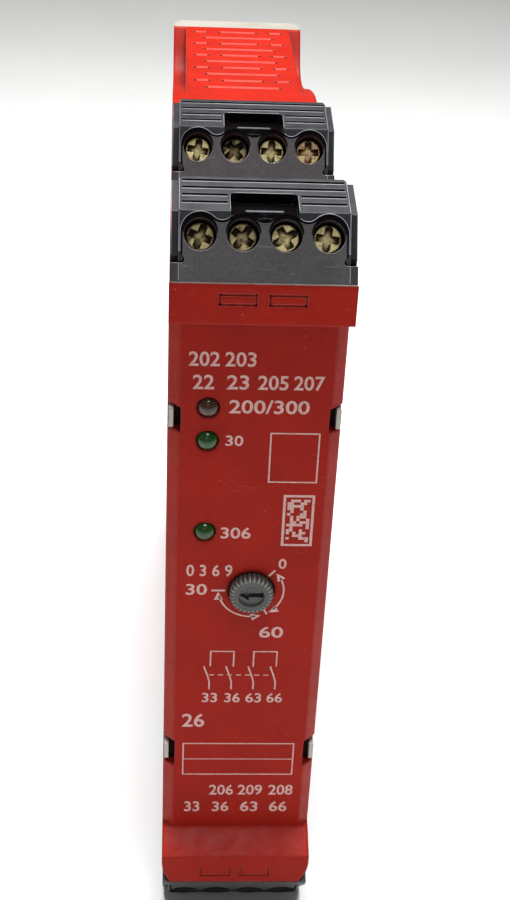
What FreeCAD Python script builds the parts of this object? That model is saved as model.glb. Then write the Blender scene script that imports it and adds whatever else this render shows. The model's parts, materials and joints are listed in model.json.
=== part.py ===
"""Safety relay in a 22.5 mm wide DIN-rail housing, millimetres.

Frame: X across the width, Y into the depth towards the rail, Z up. The origin is the middle
of the rail seat, on the plane that the front of the rail's flanges touches.
"""
import FreeCAD, Part
import math
import os

V = FreeCAD.Vector

# ---- driving dimensions: whole device
width = 22.5                 # across the rail
total_height = 119.14        # over the plugs' ridges
total_depth = 113.6          # lip front to rear feet
foot_reach = 6.5             # rear feet behind the rail seat plane
base_thickness = 9.2         # rear base, front to back

# ---- front cover
lip_reach = 4.3              # lip front ahead of the face
plug_rise = 8.57             # plugs' ridges above the lips
lip_face_height = 5.4        # flat front of a lip
lip_slope_drop = 2.0         # height of the slope from lip front down to the face
face_wall = 2.0
cover_depth = 8.0            # face to the seam with the shell
side_wall = 1.2
wall = 1.5                   # top, bottom and pocket walls
edge_bevel = 1.5             # bevel along the face's long edges
lower_corner_r = 7.5         # rounding of the lower lip's outer corners
lower_corner_z = 4.3
tag_frame_line = 0.3         # engraved outlines on the lips
tag_frame_depth = 0.3
tag_width = 4.62
tag_gap = 1.36
tag_height = 1.6
tag_edge_inset = 1.35

# ---- snap notches in the long edges (centre height, height)
notches = ((29.7, 3.7), (-28.1, 5.0))
notch_inset = 1.7
notch_depth = 3.0
tab_height = 2.8
tab_thickness = 0.62
tab_front_gap = 0.45

# ---- lamps and selector on the face
lamp_x = -6.05
lamp_heights = (31.5, 26.55, 12.2)
lamp_names = ("lamp_power", "lamp_input", "lamp_output")
lamp_r = 1.45
lamp_flange_r = 1.9
lamp_flange = 1.0
lamp_proud = 0.85
lamp_clear = 0.07
lead_offset = 1.27           # a lamp's leads either side of its axis
lead_size = 0.5
lead_hole_r = 0.5
lead_tail = 0.8              # leads behind the front board
knob_x = 0.6
knob_z = 2.3
knob_r = 3.02
knob_proud = 1.35
knob_thickness = 3.1
knob_clear = 0.2
knob_flutes = 28
flute_r = 0.17
knob_dish_r = 1.85
knob_dish = 0.35
arrow_depth = 0.55
arrow_end_gap = 0.15         # arrow short of the dish's rim
arrow_neck = -0.35           # where the arrow's head meets its stem
arrow_head_half = 0.95
arrow_stem_half = 0.42
knob_edge = 0.25
knob_shaft_r = 1.6
shaft_clear = 0.06
shaft_end_gap = 1.0          # shaft short of the front board
switch_size = 9.6
switch_clear = 0.3
switch_floor = 0.7

# ---- front board and its frame
board_thickness = 1.6
frame_clear = 0.1            # frame inside the cover
frame_wall = 1.0
frame_depth = 5.6
frame_tongue = 3.4           # side tongues that reach into the shell
frame_tongue_half = 34.0
front_board_set = 5.3        # board's front surface behind the face
front_board_end_gap = 1.6    # front board short of the frame's inner ends
ledge_height = 3.3
ledge_thickness = 0.9

# ---- main board
board_clear = 0.05           # board to the side wall
board_edge_gap = 0.6         # board outline to the walls

# ---- plug-in terminal blocks (four poles)
poles = 4
pitch = 5.08
plug_width = 22.2
plug_tilt = 31.3             # screw axes above the front normal, degrees
plug_depth = 16.0
plug_clear = 0.15            # plug to its pocket
row_shift_y = 31.65          # rear row behind the front row
row_drop = 1.15              # rear row lower than the front row
bevel_start = 8.4            # height where the ribbed bevel starts
ridge_back = 5.8             # ridge behind the screw face
screw_line = 5.58            # screw axes above the plug's lower edge
hole_r = 1.95
screw_set = 2.1              # head below the screw face
head_r = 1.8
head_thickness = 1.6
head_seat_gap = 0.05
seat_wall = 2.15             # plastic between the head's seat and the cage
neck_r = 1.62
shank_r = 1.45
shank_length = 7.1
shank_clear = 0.06           # shank in the cage's hole
slot_width = 0.6
slot_depth = 0.7
cross_width = 0.95
cross_length = 2.85
cross_depth = 1.1
head_bevel = 0.2
boss_r = 2.1
boss_rise = 0.35             # bosses' crowns above the screw axes
saddle_rise = 1.45
split_gap = 0.25             # gap between ribbed cover and screw body
skin_clear = 0.1             # cover's inner side to the body
skin_knee_drop = 0.75        # inner corner of the cover below the bevel's start
skin_crest_set = 0.55        # inner corner of the cover behind the ridge
cover_skin = 2.1
cover_tail = 1.9             # cover behind the ridge
tail_thickness = 1.9
wing_set = 0.9               # wings behind the screw face
wing_depth = 11.0
wing_foot = 2.4              # lower end of the wings
wing_drop = 0.5              # wings' tops below the ridge
wing_bevel = 0.7
wing_clear = 0.2             # wings to the body under and behind them
rim_strip = 0.23             # cover between the side gap and the wings
toe_reach = 0.32             # toe at a wing's foot, towards the middle
toe_height = 1.0
rib_pitch = 1.63
rib_groove = 0.55
rib_depth = 0.4
rib_first = 0.57
rib_margin = 0.35
rib_count = 4
rib_full = 2                 # grooves that run the whole width
pry_width = 8.1
pry_depth = 1.45
pry_corner = 0.6
pry_lead = 0.25              # recess starts before the third groove's place
pry_mouth_drop = 0.7         # recess's mouth on the screw face, below the bevel's start
tongue_width = 4.55
tongue_down = 2.85           # tongue below the recess's upper edge
tongue_thickness = 0.4
tongue_set = 0.6             # tongue's edge below the bevel
ridge_corner = 0.35
entry_width = 3.2
entry_depth = 3.6
entry_set = 8.1
entry_flare = 0.5

# ---- clamps, contacts, headers
cage_half = 2.05
cage_top_wall = 1.5
cage_space = 5.0
cage_end_wall = 0.8
cage_height = 4.7
cage_side = 0.55
cage_clear = 0.1
cage_set = 0.1
cage_lift = 0.05             # cage's middle above the screw axes
bar_half = 1.25
bar_thickness = 0.85
bar_gap = 0.05               # bar to the cage's far wall
bar_top_gap = 0.3            # bar short of the cage's upper edge
sleeve_half = 1.05
sleeve_height = 1.7
sleeve_set = 7.4
sleeve_end_gap = 0.5
pin_size = 1.0
pin_clear = 0.04
pin_line = 1.7               # pin axes above the plug's lower edge
pin_tip = 8.2                # pin ends behind the screw face
header_gap = 0.1
header_depth = 7.4
header_height = 6.0
pin_first_bend = 1.5
pin_bend_step = 1.4
pin_window = 0.3
tail_reach = 0.06            # solder tail short of the side wall

# ---- housing shell
deck_drop = 1.4              # deck between the rows below the lip height
shoulder_rise = 1.9
shoulder_flat = 1.2
shoulder_run = 9.5
vent_rows = 10
vent_pitch = 3.32
vent_width = 0.6
vent_back_gap = 3.05         # last row ahead of the shell's back edge
vent_long_half = 6.1
vent_mid_half = 3.45
vent_short_in = 5.15
vent_short_out = 7.85
scoop_inner = 9.1            # panel's half width between the side scoops
scoop_depth = 6.6
scoop_front_gap = 5.0        # scoop's start behind the shoulder
scoop_low = 9.3              # lowest point ahead of the shell's back edge
scoop_end_gap = 0.35
overrun = 5.0                # how far cutting outlines run past the seams

# ---- rear base and rail parts
base_side_inset = 0.15
base_corner = 1.0
base_top_depth = 3.8         # flat top of the base before it slopes to the feet
base_slope_drop = 5.0
spigot = 1.1
spigot_clear = 0.08
base_floor = 1.6
rail_half = 17.5             # half height of the 35 mm rail
rail_thickness = 1.0
rail_play = 0.3
seat_relief = 0.25           # recess floor beside the seat pad
seat_gap = 0.3               # seat pad short of the hook and of the latch
hook_overlap = 2.3
hook_gap = 0.25
hook_thickness = 2.6
recess_below = 4.0
pocket_wall = 1.5
pocket_web_half = 0.6        # web between the two rear pockets
hook_lead = 2.5              # hook's inner slope above the recess
latch_half_width = 5.0
latch_thickness = 2.4
latch_gap = 0.08
latch_tail = 1.4             # latch foot below the base
nose_bevel = 1.0
latch_window_half = 1.9
latch_window_top = 31.0
latch_window_height = 12.4
peg_height = 1.8
peg_free = 2.2
spring_wire_r = 0.2
spring_turns = 8
spring_r = 0.85
spring_seat = 0.02           # gap at each end of the spring
peg_clear = 0.2              # peg in the latch's window
pull_slot_half = 2.2
pull_slot_height = 1.0
pull_slot_low = 0.7          # slot's lower edge above the latch's foot

# ---- components on the main board (size along X from the board, Y, Z)
relay_size = (15.8, 12.6, 28.0)
relay_set = 22.6             # relays behind the rear row's corner
relay_gap = 4.0              # between the two relays
relay_edge_r = 0.6
transformer_size = (12.0, 16.0, 17.0)
transformer_set = 21.1       # ahead of the shell's back edge
transformer_z = 14.0
core_lip = 2.0
core_thickness = 5.0
capacitor_r = 5.0
capacitor_length = 16.0
capacitor_set = 20.1
capacitor_z = -10.0
small_capacitor_r = 3.15
small_capacitor_length = 11.0
small_capacitor_z = -22.0
can_groove_set = 1.8         # crimped groove behind a can's end
can_groove_width = 0.8
can_groove_depth = 0.4
chip_size = (1.5, 10.0, 10.0)
chip_set = 18.8              # behind the seam
chip_z = 14.0
connector_size = (4.6, 9.6, 20.0)
connector_z = -6.0
connector_nose = 0.95        # length of the narrower front end
connector_step = 0.6

# ---- derived places
front_y = foot_reach - total_depth
face_y = front_y + lip_reach
seam_y = face_y + cover_depth
back_y = foot_reach - base_thickness
lip_half = total_height / 2.0 - plug_rise
panel_half = lip_half
half = width / 2.0
inner_half = half - side_wall
tilt = math.radians(plug_tilt)
corner_y = {"front": front_y, "rear": front_y + row_shift_y}
corner_z = {"front": lip_half + plug_clear / math.cos(tilt)}
corner_z["rear"] = corner_z["front"] - row_drop
ridge_t = (lip_half + plug_rise - corner_z["front"] + ridge_back * math.sin(tilt)) / math.cos(tilt)
deck_z = lip_half - deck_drop
pocket_back = plug_depth + plug_clear
board_x0 = -inner_half + board_clear
board_x1 = board_x0 + board_thickness
pole_x = [(i - (poles - 1) / 2.0) * pitch for i in range(poles)]
cage_front = screw_set + head_thickness + head_seat_gap + seat_wall
front_board_y = face_y + front_board_set
frame_y0 = face_y + face_wall + frame_clear
frame_y1 = frame_y0 + frame_depth
relay_y = corner_y["rear"] + relay_set
relay_z = (relay_size[2] + relay_gap) / 2
transformer_y = back_y - transformer_set
capacitor_y = back_y - capacitor_set
chip_y = seam_y + chip_set


# ---- helpers
def box(x0, x1, y0, y1, z0, z1):
    return Part.makeBox(x1 - x0, y1 - y0, z1 - z0, V(x0, y0, z0))


def prism_x(points, x0, x1):
    """A prism along X over an outline of (y, z) points."""
    corners = [V(x0, y, z) for y, z in points]
    face = Part.Face(Part.makePolygon(corners + corners[:1]))
    return face.extrude(V(x1 - x0, 0, 0))


def prism_y(points, y0, y1):
    """A prism along Y over an outline of (x, z) points."""
    corners = [V(x, y0, z) for x, z in points]
    face = Part.Face(Part.makePolygon(corners + corners[:1]))
    return face.extrude(V(0, y1 - y0, 0))


def rod(start, direction, radius, length):
    return Part.makeCylinder(radius, length, V(*start), V(*direction))


def fuse(shapes):
    joined = shapes[0]
    for shape in shapes[1:]:
        joined = joined.fuse(shape)
    return joined.removeSplitter()


def cut(shape, tools):
    for tool in tools:
        shape = shape.cut(tool)
    return shape


def flip(shape):
    """The same piece on the lower side of the device."""
    return shape.mirror(V(0, 0, 0), V(0, 0, 1))


def seat(shape, row):
    """Move a piece from a plug's own frame (X, depth, height) to its row of the device."""
    placed = shape.copy()
    placed.rotate(V(0, 0, 0), V(1, 0, 0), -plug_tilt)
    placed.translate(V(0, corner_y[row], corner_z[row]))
    return placed


def row_point(row, depth, height):
    """(y, z) in the device of a point given in a plug's own frame."""
    y = corner_y[row] + depth * math.cos(tilt) + height * math.sin(tilt)
    z = corner_z[row] - depth * math.sin(tilt) + height * math.cos(tilt)
    return (y, z)


def pocket_floor_at_y(row, y):
    """(y, z) where the pocket's lower wall passes a given y."""
    depth = (y - corner_y[row] + plug_clear * math.sin(tilt)) / math.cos(tilt)
    return row_point(row, depth, -plug_clear)


def pocket_floor_at_z(row, z):
    depth = (corner_z[row] - plug_clear * math.cos(tilt) - z) / math.sin(tilt)
    return row_point(row, depth, -plug_clear)


def pocket_back_at_z(row, z):
    height = (z - corner_z[row] + pocket_back * math.sin(tilt)) / math.cos(tilt)
    return row_point(row, pocket_back, height)


# ---- housing outline
def shell_outline(y_front, y_back):
    """Upper half of the shell's side outline, then its mirror image."""
    shoulder_z = panel_half + shoulder_rise
    crest = pocket_back_at_z("rear", shoulder_z)
    upper = [pocket_floor_at_y("front", y_front),
             row_point("front", pocket_back, -plug_clear),
             pocket_back_at_z("front", deck_z),
             pocket_floor_at_z("rear", deck_z),
             row_point("rear", pocket_back, -plug_clear),
             crest,
             (crest[0] + shoulder_flat, shoulder_z)]
    steps = 6
    for i in range(1, steps + 1):
        turn = math.pi / 2 * i / steps
        y = crest[0] + shoulder_flat + shoulder_run * math.sin(turn)
        z = panel_half + shoulder_rise * math.cos(turn) ** 2
        upper.append((y, z))
    upper.append((y_back, panel_half))
    lower = [(y, -z) for y, z in reversed(upper)]
    return upper + lower


def inset_prism(outline, inset, x0, x1):
    """A prism over an outline that is drawn in by a wall's thickness."""
    corners = [V(x0, y, z) for y, z in outline]
    face = Part.Face(Part.makePolygon(corners + corners[:1]))
    inner = face.makeOffset2D(-inset, 2)
    return inner.extrude(V(x1 - x0, 0, 0))


def scoop(extra, x_in):
    """The dip in the upper edge beside the vented panel, on the +X side: a long slope down
    towards the back and a short steep rise at the shell's back edge."""
    y_start = shoulder_end() + scoop_front_gap
    y_low = back_y - scoop_low
    y_end = back_y - scoop_end_gap
    run = y_low - y_start
    rise = y_end - y_low
    shape = [(0.0, 0.0), (0.24, 0.19), (0.6, 0.62), (0.85, 0.93)]
    points = [(y_start + share * run, share_down) for share, share_down in shape]
    points += [(y_low, 1.0), (y_low + 0.4 * rise, 0.9), (y_low + 0.72 * rise, 0.5), (y_end, 0.0)]
    curve_points = [V(x_in, y, panel_half + 0.01 - scoop_depth * down - extra) for y, down in points]
    curve = Part.BSplineCurve()
    curve.interpolate(curve_points)
    start = curve_points[0]
    end = curve_points[-1]
    over = V(0, 0, scoop_depth)
    sides = [Part.makeLine(end, end + over), Part.makeLine(end + over, start + over),
             Part.makeLine(start + over, start)]
    face = Part.Face(Part.Wire([curve.toShape()] + sides))
    return face.extrude(V(half + 1.0 - x_in, 0, 0))


def shoulder_end():
    crest = pocket_back_at_z("rear", panel_half + shoulder_rise)
    return crest[0] + shoulder_flat + shoulder_run


def both_sides(shape):
    return [shape, shape.mirror(V(0, 0, 0), V(1, 0, 0))]


def four_ways(shape):
    pair = both_sides(shape)
    return pair + [flip(piece) for piece in pair]


def vent_slots():
    slots = []
    for row in range(vent_rows):
        y = back_y - vent_back_gap - vent_pitch * (vent_rows - 1 - row)
        if row % 2:
            spans = [(-vent_short_out, -vent_short_in), (-vent_mid_half, vent_mid_half),
                     (vent_short_in, vent_short_out)]
        else:
            spans = [(-vent_long_half, vent_long_half)]
        for x0, x1 in spans:
            slots.append(box(x0, x1, y - vent_width / 2, y + vent_width / 2,
                             panel_half - 2 * wall, panel_half + 1.0))
    return slots


def pin_windows(row):
    size = pin_size / 2 + pin_window
    tools = []
    for x in pole_x:
        hole = box(x - size, x + size, plug_depth, pocket_back + wall + header_gap,
                   pin_line - size, pin_line + size)
        tools.append(seat(hole, row))
    return tools


def housing_shell():
    body = prism_x(shell_outline(seam_y, back_y), -half, half)
    hollow = inset_prism(shell_outline(seam_y - overrun, back_y + overrun), wall, -inner_half, inner_half)
    liner = scoop(side_wall, scoop_inner - side_wall)
    for piece in four_ways(liner):
        hollow = hollow.cut(piece)
    body = body.cut(hollow)
    body = cut(body, four_ways(scoop(0.0, scoop_inner)))
    vents = vent_slots()
    body = cut(body, vents + [flip(slot) for slot in vents])
    windows = pin_windows("front") + pin_windows("rear")
    return cut(body, windows + [flip(window) for window in windows])


# ---- front cover
def cover_outline(y_back):
    slope_z = lip_half - lip_face_height
    upper = [(face_y, slope_z - lip_slope_drop),
             (front_y, slope_z),
             (front_y, lip_half),
             pocket_floor_at_y("front", y_back)]
    lower = [(y, -z) for y, z in reversed(upper)]
    return upper + lower


def tag_frames(z_low, z_high, open_top):
    """Two engraved rectangle outlines side by side on a lip's front."""
    line = tag_frame_line
    tools = []
    for side in (-1, 1):
        inner = tag_gap / 2
        x0 = min(side * inner, side * (inner + tag_width))
        x1 = x0 + tag_width
        deep = front_y + tag_frame_depth
        tools.append(box(x0, x0 + line, front_y - 1, deep, z_low, z_high))
        tools.append(box(x1 - line, x1, front_y - 1, deep, z_low, z_high))
        tools.append(box(x0, x1, front_y - 1, deep, z_low, z_low + line))
        if not open_top:
            tools.append(box(x0, x1, front_y - 1, deep, z_high - line, z_high))
    return tools


def lower_corner_cut(side):
    """The rounded outer corner of the lower lip: an arc that leaves the side plane smoothly."""
    steps = 6
    points = [(side * (half + 1), -lip_half - 1), (side * (half + 1), -lip_half + lower_corner_z)]
    for i in range(steps + 1):
        drop = lower_corner_z * i / steps
        x = half - lower_corner_r + math.sqrt(lower_corner_r ** 2 - drop ** 2)
        points.append((side * x, -lip_half + lower_corner_z - drop))
    points.append((points[-1][0], -lip_half - 1))
    return prism_y(points, front_y - 1, seam_y + 1)


def front_cover():
    body = prism_x(cover_outline(seam_y), -half, half)
    slope_z = lip_half - lip_face_height
    hollow = inset_prism(cover_outline(seam_y + overrun), wall, -inner_half, inner_half)
    hollow = hollow.cut(box(-half, half, front_y, face_y + face_wall, -slope_z + lip_slope_drop,
                            slope_z - lip_slope_drop))
    body = body.cut(hollow)
    edge_z = slope_z - lip_slope_drop
    for side in (-1, 1):
        points = [(side * (half + 1), face_y - 1), (side * (half - edge_bevel - 1), face_y - 1),
                  (side * (half - edge_bevel), face_y), (side * half, face_y + edge_bevel),
                  (side * (half + 1), face_y + edge_bevel + 1)]
        corners = [V(x, y, -edge_z) for x, y in points]
        bevel = Part.Face(Part.makePolygon(corners + corners[:1])).extrude(V(0, 0, 2 * edge_z))
        lips = prism_x(cover_outline(seam_y), -half - 2, half + 2)
        body = body.cut(bevel.common(lips).cut(box(-half - 2, half + 2, front_y - 1,
                                                   face_y, -lip_half, lip_half)))
        for centre, height in notches:
            x_in = half - notch_inset
            window = box(x_in, half + 1, face_y - 1, face_y + notch_depth,
                         centre - height / 2, centre + height / 2)
            body = body.cut(window if side > 0 else window.mirror(V(0, 0, 0), V(1, 0, 0)))
    tag_top = lip_half - tag_edge_inset
    frames = tag_frames(tag_top - tag_height, tag_top, False)
    frames += tag_frames(-tag_top - 0.1, -tag_top + tag_height + 0.3, True)
    body = cut(body, frames)
    for z in lamp_heights:
        hole = rod((lamp_x, face_y - 1, z), (0, 1, 0), lamp_r + lamp_clear, face_wall + 2)
        body = body.cut(hole)
    body = body.cut(rod((knob_x, face_y - 1, knob_z), (0, 1, 0), knob_r + knob_clear, face_wall + 2))
    return cut(body, [lower_corner_cut(-1), lower_corner_cut(1)])


# ---- front frame, board, lamps and selector
def frame_half_height():
    """The frame reaches up to the inside of the pocket's lower wall at its rear edge."""
    floor = pocket_floor_at_y("front", frame_y1)
    return floor[1] - wall / math.cos(tilt) - frame_clear


def board_half_height():
    return frame_half_height() - frame_wall - front_board_end_gap


def front_frame():
    y0 = frame_y0
    y1 = frame_y1
    x1 = inner_half - frame_clear
    z1 = frame_half_height()
    ring = box(-x1, x1, y0, y1, -z1, z1)
    ring = ring.cut(box(-x1 + frame_wall, x1 - frame_wall, y0 - 1, y1 + 1, -z1 + frame_wall,
                        z1 - frame_wall))
    ledge_y = front_board_y + board_thickness + board_clear
    for side in (-1, 1):
        x0 = min(side * x1, side * (x1 - frame_wall))
        ring = ring.fuse(box(x0, x0 + frame_wall, y1, seam_y + frame_tongue, -frame_tongue_half,
                             frame_tongue_half))
        ends = sorted((side * z1, side * (z1 - ledge_height)))
        ring = ring.fuse(box(-x1 + frame_wall, x1 - frame_wall, ledge_y,
                             ledge_y + ledge_thickness,
                             ends[0], ends[1]))
        for centre, height in notches:
            low = centre - tab_height / 2
            high = centre + tab_height / 2
            root = box(x1 - frame_wall, half - base_side_inset, y0,
                       face_y + notch_depth - frame_clear, low, high)
            blade = box(half - base_side_inset - tab_thickness, half - base_side_inset,
                        face_y + tab_front_gap, y0, low, high)
            tab = root.fuse(blade)
            ring = ring.fuse(tab if side > 0 else tab.mirror(V(0, 0, 0), V(1, 0, 0)))
    return ring.removeSplitter()


def front_board():
    x1 = inner_half - frame_clear - frame_wall - board_clear
    z1 = board_half_height()
    board = box(-x1, x1, front_board_y, front_board_y + board_thickness, -z1, z1)
    for z in lamp_heights:
        for offset in (-lead_offset, lead_offset):
            board = board.cut(rod((lamp_x, front_board_y - 1, z + offset), (0, 1, 0), lead_hole_r, 4))
    return board


def lamp(z):
    """A 3 mm lamp: flange on the board, dome proud of the face, two leads through the board."""
    dome_y = face_y - lamp_proud + lamp_r
    body = rod((lamp_x, dome_y, z), (0, 1, 0), lamp_r, front_board_y - dome_y)
    body = body.fuse(Part.makeSphere(lamp_r, V(lamp_x, dome_y, z)))
    body = body.fuse(rod((lamp_x, front_board_y - lamp_flange, z), (0, 1, 0), lamp_flange_r,
                         lamp_flange))
    reach = lead_size / 2
    for offset in (-lead_offset, lead_offset):
        lead = box(lamp_x - reach, lamp_x + reach, front_board_y,
                   front_board_y + board_thickness + lead_tail, z + offset - reach, z + offset + reach)
        body = body.fuse(lead)
    return body.removeSplitter()


def selector_knob():
    y0 = face_y - knob_proud
    knob = rod((knob_x, y0, knob_z), (0, 1, 0), knob_r, knob_thickness)
    rim = [edge for edge in knob.Edges
           if abs(edge.CenterOfMass.y - y0) < 0.01 and isinstance(edge.Curve, Part.Circle)]
    knob = knob.makeChamfer(knob_edge, rim)
    for i in range(knob_flutes):
        turn = 2 * math.pi * i / knob_flutes
        x = knob_x + knob_r * math.cos(turn)
        z = knob_z + knob_r * math.sin(turn)
        knob = knob.cut(rod((x, y0 - 1, z), (0, 1, 0), flute_r, knob_thickness + 0.4))
    knob = knob.cut(rod((knob_x, y0 - 1, knob_z), (0, 1, 0), knob_dish_r, 1 + knob_dish))
    tip = knob_dish_r - arrow_end_gap
    arrow = [(-tip, 0), (arrow_neck, arrow_head_half), (arrow_neck, arrow_stem_half),
             (tip, arrow_stem_half), (tip, -arrow_stem_half), (arrow_neck, -arrow_stem_half),
             (arrow_neck, -arrow_head_half)]
    arrow = [(knob_x + x, knob_z + z) for x, z in arrow]
    knob = knob.cut(prism_y(arrow, y0 - 1, y0 + knob_dish + arrow_depth))
    shaft_y = y0 + knob_thickness
    shaft = rod((knob_x, shaft_y, knob_z), (0, 1, 0), knob_shaft_r,
                front_board_y - shaft_y - shaft_end_gap)
    return knob.fuse(shaft).removeSplitter()


def selector_switch():
    reach = switch_size / 2
    y0 = face_y - knob_proud + knob_thickness + switch_clear
    body = box(knob_x - reach, knob_x + reach, y0, front_board_y, knob_z - reach, knob_z + reach)
    bore = rod((knob_x, y0 - 1, knob_z), (0, 1, 0), knob_shaft_r + shaft_clear,
               front_board_y - y0 + 1 - switch_floor)
    return body.cut(bore)


# ---- plug-in terminal blocks, in the plug's own frame: X, depth (Y), height (Z)
def envelope(x0, x1):
    """The block's outer form: screw face, ribbed bevel, ridge, wire-entry face, back."""
    return prism_x([(0, 0), (0, bevel_start), (ridge_back, ridge_t), (plug_depth, ridge_t),
                    (plug_depth, 0)], x0, x1)


def boss_outline(grow, depth0, depth1):
    """The four bosses and the block under them, seen from the front; saddles between bosses."""
    radius = boss_r + grow
    end = pole_x[-1] + radius
    crown = screw_line + boss_rise
    shapes = [box(-end, end, depth0, depth1, -1.0, crown)]
    for x in pole_x:
        shapes.append(rod((x, depth0, crown), (0, 1, 0), radius, depth1 - depth0))
    fillet_r = saddle_radius()
    dip_z = screw_line + saddle_rise + fillet_r
    for left, right in zip(pole_x[:-1], pole_x[1:]):
        middle = (left + right) / 2
        reach = pitch / 2 * fillet_r / (boss_r + fillet_r)
        touch_z = crown + (dip_z - crown) * boss_r / (boss_r + fillet_r)
        block = box(middle - reach, middle + reach, depth0, depth1, 0, touch_z)
        dip = rod((middle, depth0 - 1, dip_z), (0, 1, 0), fillet_r - grow, depth1 - depth0 + 2)
        shapes.append(block.cut(dip))
    return fuse(shapes)


def saddle_radius():
    """Radius of the concave arc that is tangent to two bosses and dips to saddle_rise."""
    rise = saddle_rise - boss_rise
    return ((pitch / 2) ** 2 + rise ** 2 - boss_r ** 2) / (2 * (boss_r - rise))


def bevel_frame(shape):
    """Lay a tool drawn on a flat (Y down the bevel from the ridge, Z out) onto the bevel."""
    angle = math.degrees(math.atan2(ridge_t - bevel_start, ridge_back))
    placed = shape.copy()
    placed.rotate(V(0, 0, 0), V(1, 0, 0), 180 + angle)
    placed.translate(V(0, ridge_back, ridge_t))
    return placed


def rib_grooves():
    reach = cover_half() - rib_margin
    tools = []
    for i in range(rib_count):
        y0 = rib_first + i * rib_pitch
        spans = [(-reach, reach)]
        if i >= rib_full:
            inner = pry_width / 2 + rib_margin
            spans = [(-reach, -inner), (inner, reach)]
        for x0, x1 in spans:
            tools.append(bevel_frame(box(x0, x1, y0, y0 + rib_groove, -1.0, rib_depth)))
    return tools


def bevel_length():
    return math.hypot(ridge_back, ridge_t - bevel_start)


def pry_start():
    return rib_first + rib_full * rib_pitch - pry_lead


def pry_recess():
    """The pocket for a screwdriver between the middle bosses, open towards the screw face."""
    start = pry_start()
    wide = box(-pry_width / 2, pry_width / 2, start, bevel_length() + 1.0, -3.0, pry_depth)
    corners = [edge for edge in wide.Edges
               if abs(edge.CenterOfMass.y - start) < 0.01 and abs(edge.CenterOfMass.x) > 1
               and edge.Length > 2]
    wide = wide.makeFillet(pry_corner, corners)
    mouth = box(-pry_width / 2, pry_width / 2, -1, cover_skin + skin_clear, screw_line,
                bevel_start - pry_mouth_drop)
    brow = box(-pry_width / 2, pry_width / 2, -1, pry_depth, screw_line, bevel_start + 0.1)
    return fuse([bevel_frame(wide), mouth, brow])


def tongue():
    """A thin upright edge on the floor of the screwdriver pocket."""
    y0 = pry_start() + tongue_down
    return bevel_frame(box(-tongue_width / 2, tongue_width / 2, y0, y0 + tongue_thickness, tongue_set,
                           pry_depth + 0.1))


def wing_inner():
    """Half width inside the side gap between cover and screw body."""
    return pole_x[-1] + boss_r + split_gap


def cover_half():
    return wing_inner() + rim_strip


def toe_outline(grow):
    """The toe at a wing's foot, seen from the front on the +X side: (x, height) points."""
    x_in = wing_inner() + 0.02
    low = wing_foot - grow
    high = wing_foot + toe_height + grow
    reach = toe_reach + grow
    return [(x_in, high), (x_in - 0.35 * reach, high - 0.3 * toe_height),
            (x_in - reach, low + 0.45 * toe_height), (x_in - reach, low + 0.2 * toe_height),
            (x_in - 0.6 * reach, low), (x_in, low)]


def plug_cover():
    main_half = cover_half()
    skin = [(-1, wing_foot), (cover_skin, wing_foot), (cover_skin, bevel_start - skin_knee_drop),
            (ridge_back + skin_crest_set, ridge_t - tail_thickness),
            (ridge_back + cover_tail, ridge_t - tail_thickness),
            (ridge_back + cover_tail, ridge_t + 1), (-1, ridge_t + 1)]
    shell = prism_x(skin, -main_half, main_half).common(envelope(-half, half))
    shell = cut(shell, rib_grooves() + [pry_recess()]).fuse(tongue())
    shell = shell.cut(boss_outline(split_gap, -1, cover_skin + 1))
    outer = plug_width / 2
    for side in (-1, 1):
        wedge = [(side * (main_half + 1), ridge_t + 1), (side * (main_half - ridge_corner), ridge_t + 1),
                 (side * (main_half - ridge_corner), ridge_t), (side * main_half, ridge_t - ridge_corner),
                 (side * (main_half + 1), ridge_t - ridge_corner)]
        shell = shell.cut(prism_y(wedge, -1, plug_depth))
    wing_top = ridge_t - wing_drop
    wing = [(wing_set, wing_foot + wing_bevel), (wing_set, bevel_start),
            (ridge_back + wing_set * 0.4, wing_top), (wing_set + wing_depth, wing_top),
            (wing_set + wing_depth, wing_foot), (wing_set + wing_bevel, wing_foot)]
    pieces = [shell]
    for side in (-1, 1):
        x0 = min(side * wing_inner(), side * outer)
        pieces.append(prism_x(wing, x0, x0 + outer - wing_inner()))
        toe = prism_y([(side * x, z) for x, z in toe_outline(0.0)], 0.0, cover_skin)
        pieces.append(toe)
    return fuse(pieces)


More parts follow.
